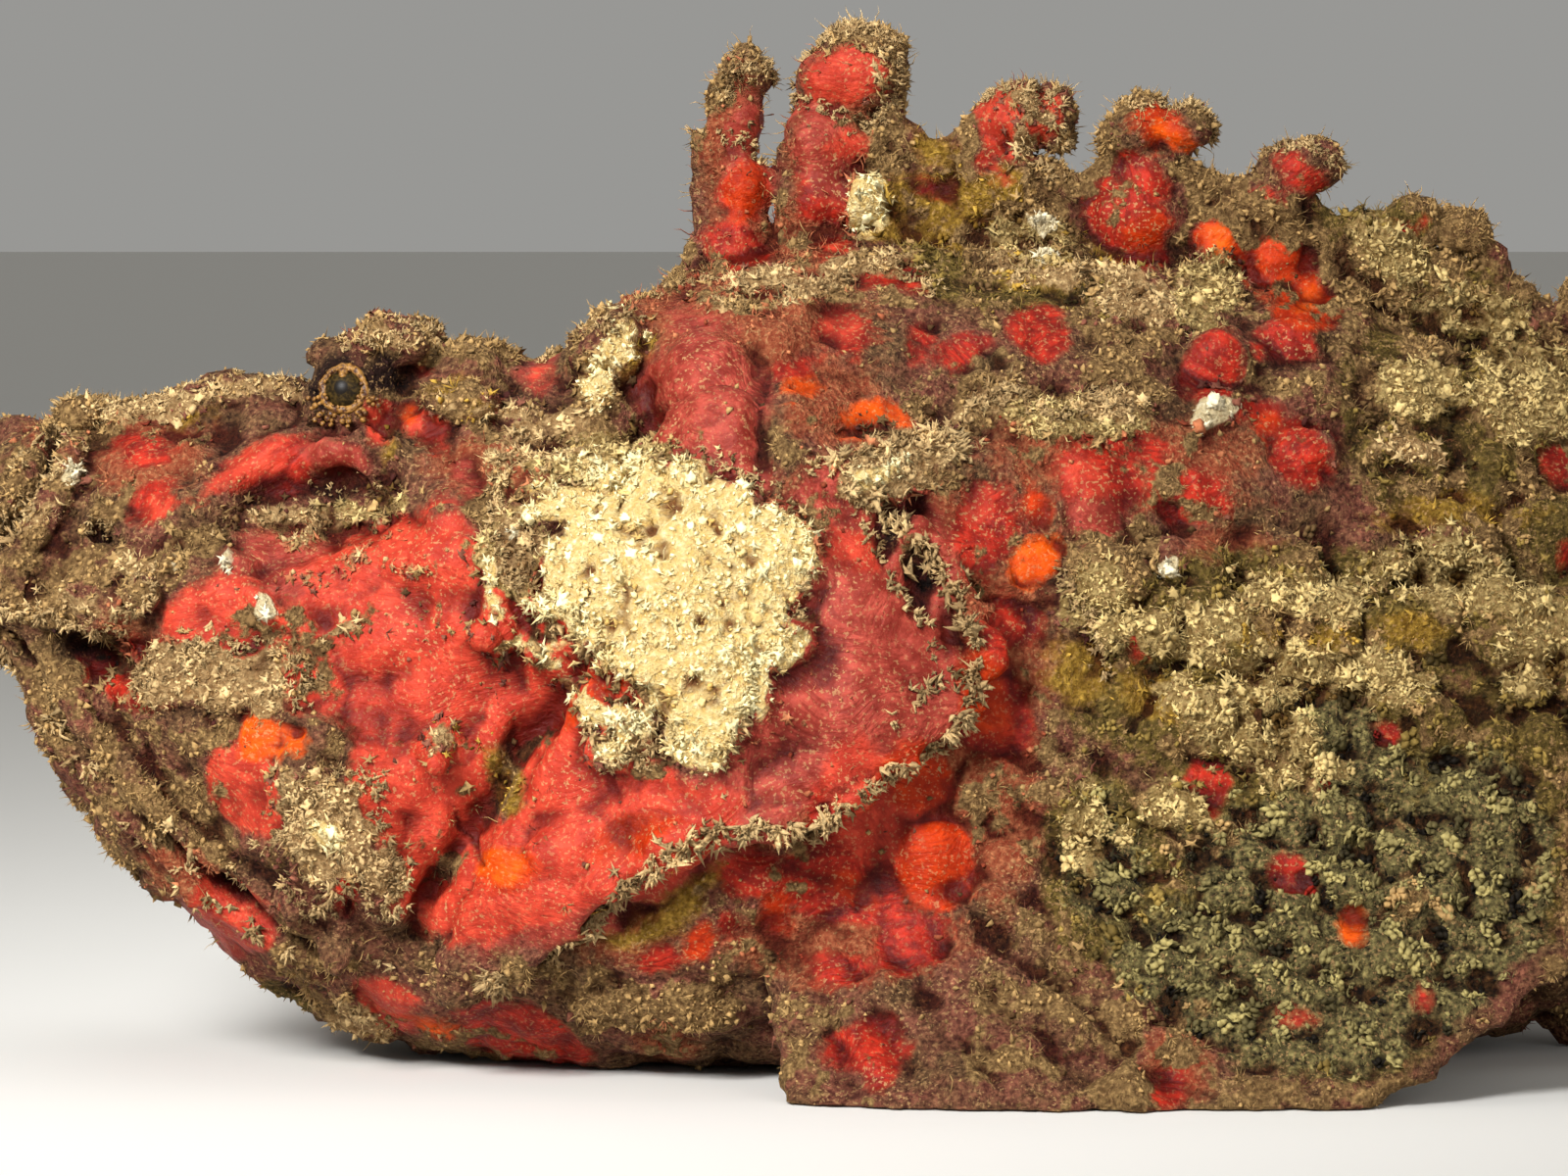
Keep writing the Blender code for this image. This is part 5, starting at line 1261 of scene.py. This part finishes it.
def coverage():
    """For each point of the skin, how fully each kind of ground shows there, and where nothing grows."""
    fields = fish["fields"]
    ground = {kind: shown(fields[kind]) for kind in LAYERS}
    ground["fleshy"] = np.maximum.reduce([ground[kind] for kind in FLESHY])
    for kind in ("grey", "straw", "cream"):
        ground["fleshy"] = ground["fleshy"] * (1 - ground[kind])
    ground["crust"] = shown(fields["crust"], 0.6, -0.1)
    ground["limy"] = np.maximum(ground["grey"], ground["straw"])
    rims = [np.exp(-(((fields[kind] - 0.2) / 0.8) ** 2)) for kind in ("cream", "grey", "straw", "white")]
    ground["rim"] = np.maximum.reduce(rims)
    clear = np.ones(len(fish["points"]))
    for centre in (EYE_CENTRE, other_side(EYE_CENTRE)):
        away = np.linalg.norm(fish["points"] - np.array(centre), axis=1)
        clear *= np.clip((away - EYE_CLEAR_MM * MM) / MM, 0, 1)
    clear *= np.clip((fish["points"][:, 2] - CAD_BOX[0].z - 1.5 * MM) / (6 * MM), 0.05, 1)
    ground["clear"] = clear * (1 - 0.9 * ground["dark"])
    ground["high"] = np.clip((fish["points"][:, 2] - FLOOR_Z - 0.092) / 0.012, 0, 1)
    return ground


# Settings


class StonefishSkinSettings(bpy.types.PropertyGroup):
    voxel: FloatProperty(
        name="Voxel", description="Size of the clay's voxels", default=0.0007, unit="LENGTH")
    triangles: IntProperty(
        name="Triangles", description="Most triangles in the skin", default=192000, min=20000)
    wart_height: FloatProperty(
        name="Wart height", description="How far warts stand out", default=0.0012, unit="LENGTH")
    crust_depth: FloatProperty(
        name="Crust depth", description="Roughness of the bare crust", default=0.0007, unit="LENGTH")
    granule_size: FloatProperty(
        name="Granule size", description="Spacing of granules", default=0.0036, unit="LENGTH")


class StonefishCrustSettings(bpy.types.PropertyGroup):
    tufts: IntProperty(name="Tufts", description="Tufts of turf on the whole fish", default=7900, min=0)
    tuft_length: FloatProperty(
        name="Tuft length", description="Usual length of the turf", default=0.0015, unit="LENGTH")
    crumbs: IntProperty(name="Crumbs", description="Grains of lime crust", default=33000, min=0)
    granules: IntProperty(
        name="Granules", description="Granules of the fins and rear flank", default=3700, min=0)
    frills: IntProperty(name="Frills", description="Torn scraps of the pale crusts", default=16400, min=0)
    knobs: IntProperty(name="Knobs", description="Rounded knobs of lime", default=320, min=0)
    lip_cirri: IntProperty(name="Lip cirri", description="Crusted cirri along the lips", default=160, min=0)
    scraps: FloatProperty(
        name="Scraps", description="Torn scraps for each cirrus of the fringes", default=1.4, min=0)
    hairs: IntProperty(name="Hairs", description="Single long cirri", default=4200, min=0)


class StonefishEyeSettings(bpy.types.PropertyGroup):
    pupil: FloatProperty(name="Pupil", description="Radius of the pupil", default=0.0008, unit="LENGTH")
    rim: FloatProperty(
        name="Rim", description="Thickness of the golden rim", default=0.00058, unit="LENGTH")


class StonefishStageSettings(bpy.types.PropertyGroup):
    floor: FloatVectorProperty(
        name="Floor", description="Colour of the floor", subtype="COLOR", default=linear("#D9D7D2")[:3],
        min=0, max=1)
    key: FloatProperty(name="Key light", description="Power of the key light", default=0.85, unit="POWER")
    fill: FloatProperty(name="Fill light", description="Power of the fill light", default=2.2, unit="POWER")


# Operators


class OBJECT_OT_stonefish_skin(bpy.types.Operator):
    """Model the one skin over all the fish's flesh"""

    bl_idname = "object.stonefish_skin"
    bl_label = "Skin"

    def execute(self, context):
        mesh = shape_skin(context.scene.stonefish_skin)
        store_fields(mesh)
        made = add_piece("encrusted_skin", mesh, skin_finish())
        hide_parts(*FLESH)
        return {"FINISHED"}


def eye_finish(settings):
    """A fish's wet cornea over an olive iris with gold flecks and a black pupil."""
    made, tree, shader = new_material("Wet_eye", Roughness=0.42, IOR=1.36, Specular_IOR_Level=0.25)
    out = add_node(tree, "ShaderNodeAttribute", attribute_name="from_axis_mm").outputs["Fac"]
    place = add_node(tree, "ShaderNodeTexCoord").outputs["Object"]
    grain = add_node(tree, "ShaderNodeTexNoise", {"Vector": place, "Scale": per_metre(0.35), "Detail": 4.0})
    flecks = add_node(tree, "ShaderNodeValToRGB", {"Fac": grain.outputs["Fac"]})
    for stop, position, code in zip(flecks.color_ramp.elements, (0.42, 0.70), ("#1A1206", "#443414")):
        stop.position, stop.color = position, linear(code)
    pupil = settings.pupil / MM
    edge = add_node(tree, "ShaderNodeMapRange", {"Value": out, "From Min": pupil, "From Max": pupil + 0.15})
    colour = add_node(tree, "ShaderNodeMix", data_type="RGBA")
    tree.links.new(edge.outputs[0], colour.inputs[0])
    colour.inputs[6].default_value = linear("#120C06")
    tree.links.new(flecks.outputs[0], colour.inputs[7])
    tree.links.new(colour.outputs[2], shader.inputs["Base Color"])
    return made


def rim_finish():
    """The eye's fleshy rim: thin golden skin, granular and moist."""
    made, tree, shader = new_material("Golden_eye_rim", Roughness=0.45, IOR=1.4)
    place = add_node(tree, "ShaderNodeTexCoord").outputs["Object"]
    grain = add_node(tree, "ShaderNodeTexNoise", {"Vector": place, "Scale": per_metre(0.5), "Detail": 3.0})
    grain = grain.outputs["Fac"]
    ramp = add_node(tree, "ShaderNodeValToRGB", {"Fac": grain})
    for stop, position, code in zip(ramp.color_ramp.elements, (0.38, 0.62), ("#3E1E0C", "#94692E")):
        stop.position, stop.color = position, linear(code)
    bump = add_node(tree, "ShaderNodeBump", {"Height": grain, "Strength": 0.7, "Distance": 0.3 * MM})
    tree.links.new(ramp.outputs[0], shader.inputs["Base Color"])
    tree.links.new(bump.outputs[0], shader.inputs["Normal"])
    return made


class OBJECT_OT_stonefish_eyes(bpy.types.Operator):
    """Model both eyeballs, their golden rims, tassels and lappets"""

    bl_idname = "object.stonefish_eyes"
    bl_label = "Eyes"

    def execute(self, context):
        settings = context.scene.stonefish_eyes
        wet, golden = eye_finish(settings), rim_finish()
        for side, name in ((1, "eye_left"), (-1, "eye_right")):
            centre = (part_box(name)[0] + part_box(name)[1]) / 2
            axis = Vector((EYE_AXIS.x, side * EYE_AXIS.y, EYE_AXIS.z))
            turn = Vector((0, 0, 1)).rotation_difference(axis).to_matrix().to_4x4()
            ball = bmesh.new()
            bmesh.ops.create_uvsphere(ball, u_segments=48, v_segments=32, radius=EYEBALL_RADIUS)
            for corner in ball.verts:
                out = math.hypot(corner.co.x, corner.co.y)
                if corner.co.z > 0 and out < CORNEA_RADIUS_MM * MM:
                    corner.co.z += CORNEA_RISE_MM * MM * (1 - (out / (CORNEA_RADIUS_MM * MM)) ** 2)
            distances = [
                math.hypot(corner.co.x, corner.co.y) / MM if corner.co.z > 0 else BEHIND_EYE_MM
                for corner in ball.verts]
            bmesh.ops.transform(ball, matrix=Matrix.Translation(centre) @ turn, verts=ball.verts)
            mesh = bpy.data.meshes.new(name)
            ball.to_mesh(mesh)
            ball.free()
            from_axis = mesh.attributes.new("from_axis_mm", "FLOAT", "POINT")
            from_axis.data.foreach_set("value", distances)
            mesh.shade_smooth()
            made = add_piece(f"{name}ball", mesh, wet)
            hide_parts(name)

            draw = np.random.default_rng(31)
            down = (turn.inverted() @ Vector((0, 0, -1))).to_2d()
            downward = math.atan2(down.y, down.x)

            def on_ball(out_mm, angle, lift_mm=0.0):
                """A place on the eyeball, this far from its axis and turned this far from straight down."""
                out = out_mm * MM
                rise = math.sqrt(EYEBALL_RADIUS**2 - out**2) + lift_mm * MM
                return Vector((math.cos(downward + angle) * out, math.sin(downward + angle) * out, rise))

            rim = bmesh.new()
            section = bmesh.ops.create_circle(rim, cap_ends=False, segments=10, radius=settings.rim)
            seat = on_ball(RIM_RADIUS_MM, 0)
            upright = Matrix.Rotation(math.pi / 2, 4, "X")
            seated = Matrix.Translation((RIM_RADIUS_MM * MM, 0, seat.z)) @ upright
            bmesh.ops.transform(rim, matrix=seated, verts=section["verts"])
            bmesh.ops.spin(
                rim, geom=rim.verts[:] + rim.edges[:], cent=(0, 0, 0), axis=(0, 0, 1), angle=2 * math.pi,
                steps=72, use_merge=True)
            bmesh.ops.remove_doubles(rim, verts=rim.verts, dist=1e-6)
            bmesh.ops.recalc_face_normals(rim, faces=rim.faces[:])
            for corner in rim.verts:
                broad = noise.noise(corner.co * 1100 + Vector((side, 3, 1)))
                fine = noise.noise(corner.co * 2600)
                corner.co += corner.normal * 0.24 * MM * (broad + 0.5 * fine)

            def add_bead(place, radius_mm):
                """Adds one bead to the rim."""
                bmesh.ops.create_icosphere(
                    rim, subdivisions=2, radius=radius_mm * MM, matrix=Matrix.Translation(place))

            for _ in range(RIM_BEADS):
                out_mm = draw.uniform(RIM_RADIUS_MM - 0.3, RIM_RADIUS_MM + 0.5)
                spot = on_ball(out_mm, draw.uniform(0, 2 * math.pi), 0.45)
                add_bead(spot, draw.uniform(0.14, 0.30))
            for k in range(RIM_TASSELS):
                angle = math.radians(-75 + 15 * k + draw.uniform(-5, 5))
                root = on_ball(RIM_RADIUS_MM + 0.2, angle, 0.1)
                out = Vector((root.x, root.y, 0)).normalized()
                heading = (out + Vector((0, 0, draw.uniform(0.1, 0.5)))).normalized()
                reach = root + heading * draw.uniform(1.2, 2.6) * MM
                for step in range(4):
                    spot = root.lerp(reach, step / 3) + Vector(draw.normal(0, 0.08, 3)) * MM
                    add_bead(spot, draw.uniform(0.26, 0.44))
            for out_mm, wide in ((2.4, 0.80), (2.0, 0.66), (1.6, 0.5)):
                flat = Matrix.Diagonal((wide * MM, wide * MM, 0.42 * MM, 1))
                laid = Matrix.Translation(on_ball(out_mm, math.pi, 0.12)) @ flat
                bmesh.ops.create_icosphere(rim, subdivisions=2, radius=1.0, matrix=laid)
            bmesh.ops.transform(rim, matrix=Matrix.Translation(centre) @ turn, verts=rim.verts)
            mesh = bpy.data.meshes.new(f"{name}_rim")
            rim.to_mesh(mesh)
            rim.free()
            mesh.shade_smooth()
            add_piece(f"{name}_rim", mesh, golden)
        return {"FINISHED"}


class OBJECT_OT_stonefish_turf(bpy.types.Operator):
    """Plant the fine turf of cirri and its crumbs of lime"""

    bl_idname = "object.stonefish_turf"
    bl_label = "Turf"

    def execute(self, context):
        settings = context.scene.stonefish_crust
        ground = coverage()
        finish = crust_finish("Algal_turf", 0.8, 0.6, 0.1)
        tuft_shapes = [cirrus_tuft(5, 62, 0.055, seed=s) for s in (1, 2, 3, 4)]
        weight = ground["clear"] * (0.10 + ground["crust"] + 0.5 * ground["limy"])
        weight *= 1 - 0.75 * ground["fleshy"]
        weight *= 1 - 0.75 * ground["cream"]
        pieces = 3
        per_piece = settings.tufts // pieces
        for k in range(pieces):
            rng = np.random.default_rng(60 + k)
            roots = sown(per_piece, weight, 70 + k)
            length = settings.tuft_length / MM * rng.uniform(0.5, 1.5, per_piece)
            sizes = np.column_stack([length, length, length])
            plant(f"turf_{k + 1}", tuft_shapes, roots, sizes, tints(roots, rng, 0.12, FLESHY), finish,
                  80 + k, lean=0.35, wild=0.35, jitter=0.02)
        lime = crust_finish("Lime_crust", 0.85, 0.5, 0.1)
        grain_shape = bmesh.new()
        bmesh.ops.create_uvsphere(grain_shape, u_segments=4, v_segments=2, radius=1.0)
        grain_shapes = [shape_points(grain_shape)]
        liking = 0.12 + 1.2 * ground["crust"] + 1.0 * ground["limy"] + 0.3 * ground["cream"]
        weight = ground["clear"] * liking
        weight *= 1 - 0.72 * ground["fleshy"]
        pieces = 2
        per_piece = settings.crumbs // pieces
        for k in range(pieces):
            rng = np.random.default_rng(90 + k)
            roots = sown(per_piece, weight, 95 + k)
            size = 0.15 + 0.32 * rng.random(per_piece) ** 2
            long = size * rng.uniform(0.7, 1.5, per_piece)
            deep = size * rng.uniform(0.8, 2.0, per_piece)
            sizes = np.column_stack([long, size, deep])
            plant(f"lime_crumbs_{k + 1}", grain_shapes, roots, sizes, tints(roots, rng, 0.1, FLESHY), lime,
                  98 + k, lean=0.0, wild=0.5, jitter=0.22, sink=-0.2, painted_tip_light=0.2)
        return {"FINISHED"}


class OBJECT_OT_stonefish_frills(bpy.types.Operator):
    """Plant the frilled scraps of the cream and grey crusts and the white knobs"""

    bl_idname = "object.stonefish_frills"
    bl_label = "Frills"

    def execute(self, context):
        settings = context.scene.stonefish_crust
        ground = coverage()
        finish = crust_finish("Frilled_lime_crust", 0.8, 0.8, 0.25)
        weight = ground["clear"] * (
            0.9 * ground["cream"] + 1.2 * ground["limy"] + 0.12 * ground["crust"] + 2.6 * ground["rim"]
            + 0.20 * ground["green"] * (1 - ground["fleshy"]))
        shapes = [ragged_flake(prongs, seed) for prongs, seed in ((4, 1), (5, 2), (6, 3), (5, 4))]
        pieces = 2
        per_piece = settings.frills // pieces
        for k in range(pieces):
            rng = np.random.default_rng(111 + k)
            roots = sown(per_piece, weight, 121 + k)
            size = 0.35 + 0.95 * rng.random(per_piece) ** 2
            wide = size * rng.uniform(0.6, 1.0, per_piece)
            deep = size * rng.uniform(0.5, 1.0, per_piece)
            sizes = np.column_stack([size, wide, deep])
            plant(f"torn_crust_{k + 1}", shapes, roots, sizes, tints(roots, rng, 0.25, FLESHY), finish,
                  131 + k, lean=0.1, wild=0.55, jitter=0.08, sink=-0.1)

        knobs = [knobbly_ball(2, 1.0, seed, flatness=0.8, frill=0.2) for seed in (1, 2, 3)]
        liking = ground["white"] + 0.12 * ground["cream"] + 0.10 * ground["limy"]
        roots = sown(settings.knobs, ground["clear"] * liking, 141)
        rng = np.random.default_rng(142)
        size = rng.uniform(0.4, 0.9, settings.knobs)
        sizes = np.column_stack([size, size, size * 0.8])
        plant("lime_knobs", knobs, roots, sizes, tints(roots, rng, 0.25, FLESHY), finish,
              143, lean=0.0, wild=0.3, jitter=0.05, sink=0.2)
        return {"FINISHED"}


class OBJECT_OT_stonefish_granules(bpy.types.Operator):
    """Plant the granules of the pectoral fins, the rear flank and the tail"""

    bl_idname = "object.stonefish_granules"
    bl_label = "Granules"

    def execute(self, context):
        settings = context.scene.stonefish_crust
        ground = coverage()
        finish = crust_finish("Granular_skin", 0.7, 0.9, 0.3)
        shapes = [rosette(4, seed) for seed in (11, 12, 13, 14)]
        rng = np.random.default_rng(120)
        weight = ground["clear"] * (1 - ground["fleshy"]) * (ground["green"] * 0.25 + 1.6 * ground["pale"])
        roots = sown(settings.granules, weight, 121)
        size = 0.6 + 0.9 * rng.random(settings.granules) ** 1.5
        sizes = np.column_stack([size * rng.uniform(0.8, 1.3, settings.granules), size, size * 0.9])
        plant("granules", shapes, roots, sizes, tints(roots, rng, 0.15), finish, 122,
              lean=0.3, wild=0.3, jitter=0.05, sink=0.0)
        return {"FINISHED"}


class OBJECT_OT_stonefish_fringes(bpy.types.Operator):
    """Plant the fringes of crusted cirri along the edges, and the long single cirri"""

    bl_idname = "object.stonefish_fringes"
    bl_label = "Fringes"

    def execute(self, context):
        settings = context.scene.stonefish_crust
        finish = crust_finish("Crusted_cirri", 0.8, 0.5, 0.2)
        shapes = [lace_star(5, s) for s in (5, 6, 7, 8)]
        rng = np.random.default_rng(130)
        places, lengths = [], []
        for pixels, per_mm, least, most in FRINGES.values():
            path = path_on_side(fish["skin"], pixels, 1.45 / per_mm)
            for own in (path, [other_side(point) for point in path]):
                places += own
                lengths += list(rng.uniform(least, most, len(own)))
        lips = sown(settings.lip_cirri, fish["lips"], 133)["place"]
        places += [Vector(place) for place in lips]
        lengths += list(rng.uniform(1.4, 3.4, len(lips)))
        tassel = point_on_side(fish["skin"], *TASSEL)
        places += [tassel] * 4
        lengths += [3.4, 3.0, 4.0, 2.6]
        roots = sown_on(places, 0.5, 131)
        length = np.array(lengths)
        sizes = np.column_stack([length, length * 0.7, length * 0.9])
        colours = tints(greyed(roots), rng, 0.1) * rng.uniform(0.75, 1.1, (len(places), 1))
        plant("fringes", shapes, roots, sizes, colours, finish,
              132, lean=0.3, wild=0.3, jitter=0.03, sink=0.05)

        count = int(len(places) * settings.scraps)
        chosen = rng.integers(len(places), size=count)
        roots = sown_on([places[k] for k in chosen], 1.1, 134)
        size = np.minimum(length[chosen] * 0.5, 1.5) * rng.uniform(0.5, 1.2, count)
        sizes = np.column_stack([size, size * 0.8, size])
        colours = tints(greyed(roots), rng, 0.1) * rng.uniform(0.75, 1.1, (count, 1))
        scraps = [ragged_flake(prongs, seed, cup=0.7) for prongs, seed in ((5, 21), (6, 22), (4, 23))]
        plant("fringe_scraps", scraps, roots, sizes, colours, finish,
              135, lean=0.1, wild=0.6, jitter=0.1, sink=-0.1)

        hair = crust_finish("Fine_cirri", 0.75, 0.6, 0.05)
        ground = coverage()
        weight = ground["clear"] * (0.06 + 1.2 * ground["high"]) * (1 - 0.6 * ground["fleshy"])
        roots = sown(settings.hairs, weight, 141)
        rng = np.random.default_rng(142)
        length = 1.0 + 2.6 * rng.random(settings.hairs) ** 2
        sizes = np.column_stack([length, length, length])
        plant("fine_cirri", [cirrus_tuft(1, 20, 0.028, seed=s, bands=2) for s in (9, 10, 11)], roots, sizes,
              tints(roots, rng, 0.35, FLESHY), hair, 143, lean=-0.15, wild=0.4, jitter=0.01,
              sink=0.05)
        return {"FINISHED"}


class OBJECT_OT_stonefish_stage(bpy.types.Operator):
    """Set up the pale floor, the soft lights and the camera"""

    bl_idname = "object.stonefish_stage"
    bl_label = "Stage"

    def execute(self, context):
        settings = context.scene.stonefish_stage
        scene = context.scene
        ground = bmesh.new()
        bmesh.ops.create_grid(ground, x_segments=1, y_segments=1, size=15.0)
        bmesh.ops.translate(ground, vec=(0, 0, CAD_BOX[0].z - 0.0002), verts=ground.verts)
        mesh = bpy.data.meshes.new("floor")
        ground.to_mesh(mesh)
        ground.free()
        paint, _, _ = new_material("Matt_floor_paint", Base_Color=(*settings.floor, 1.0), Roughness=0.9)
        mesh.materials.append(paint)
        floor = bpy.data.objects.new("floor", mesh)
        scene.collection.objects.link(floor)

        middle = Vector((JAW_TIP_X + 0.066, 0, 0.055))
        for name, place, power, size, spread in (
            ("key", (-0.30, -0.62, 0.40), settings.key, 0.26, 42),
            ("fill", (0.60, -0.75, 0.30), settings.fill, 0.8, 180),
            ("top", (0.05, 0.25, 0.9), settings.fill * 1.2, 0.9, 180),
        ):
            light = bpy.data.lights.new(name, "AREA")
            light.energy, light.size, light.spread = power, size, math.radians(spread)
            lamp = bpy.data.objects.new(name, light)
            lamp.location = middle + Vector(place)
            lamp.rotation_euler = (middle - lamp.location).to_track_quat("-Z", "Y").to_euler()
            scene.collection.objects.link(lamp)

        world = bpy.data.worlds.new("studio")
        world.use_nodes = True
        world.node_tree.nodes["Background"].inputs["Color"].default_value = linear("#EBEAE6")
        world.node_tree.nodes["Background"].inputs["Strength"].default_value = 0.38
        scene.world = world
        scene.view_settings.view_transform = "Standard"

        tilt = math.radians(VIEW_ELEVATION)
        lens = bpy.data.cameras.new("camera")
        lens.sensor_width = SENSOR_WIDTH
        lens.lens = SENSOR_WIDTH * VIEW_DISTANCE / VIEW_WIDTH
        camera = bpy.data.objects.new("camera", lens)
        camera.location = VIEW_TARGET - Vector((0, math.cos(tilt), -math.sin(tilt))) * VIEW_DISTANCE
        camera.rotation_euler = (math.pi / 2 - tilt, 0, 0)
        scene.collection.objects.link(camera)
        scene.camera = camera
        return {"FINISHED"}


class VIEW3D_PT_stonefish(bpy.types.Panel):
    """Lists the stonefish's steps and their settings"""

    bl_label = "Stonefish"
    bl_space_type = "VIEW_3D"
    bl_region_type = "UI"
    bl_category = "Stonefish"

    def draw(self, context):
        for operator in STEPS:
            self.layout.operator(operator.bl_idname)
        for name, group in SETTINGS.items():
            box = self.layout.box()
            for setting in group.__annotations__:
                box.prop(getattr(context.scene, name), setting)


SETTINGS = {
    "stonefish_skin": StonefishSkinSettings,
    "stonefish_crust": StonefishCrustSettings,
    "stonefish_eyes": StonefishEyeSettings,
    "stonefish_stage": StonefishStageSettings,
}
STEPS = (
    OBJECT_OT_stonefish_skin,
    OBJECT_OT_stonefish_eyes,
    OBJECT_OT_stonefish_turf,
    OBJECT_OT_stonefish_frills,
    OBJECT_OT_stonefish_granules,
    OBJECT_OT_stonefish_fringes,
    OBJECT_OT_stonefish_stage,
)


def register():
    for group in SETTINGS.values():
        bpy.utils.register_class(group)
    for name, group in SETTINGS.items():
        setattr(bpy.types.Scene, name, PointerProperty(type=group))
    for step in (*STEPS, VIEW3D_PT_stonefish):
        bpy.utils.register_class(step)


def unregister():
    for step in reversed((*STEPS, VIEW3D_PT_stonefish)):
        bpy.utils.unregister_class(step)
    for name, group in reversed(SETTINGS.items()):
        delattr(bpy.types.Scene, name)
        bpy.utils.unregister_class(group)


def main():
    register()
    bpy.ops.object.stonefish_skin()
    bpy.ops.object.stonefish_eyes()
    bpy.ops.object.stonefish_turf()
    bpy.ops.object.stonefish_frills()
    bpy.ops.object.stonefish_granules()
    bpy.ops.object.stonefish_fringes()
    bpy.ops.object.stonefish_stage()


if __name__ == "__main__":
    main()
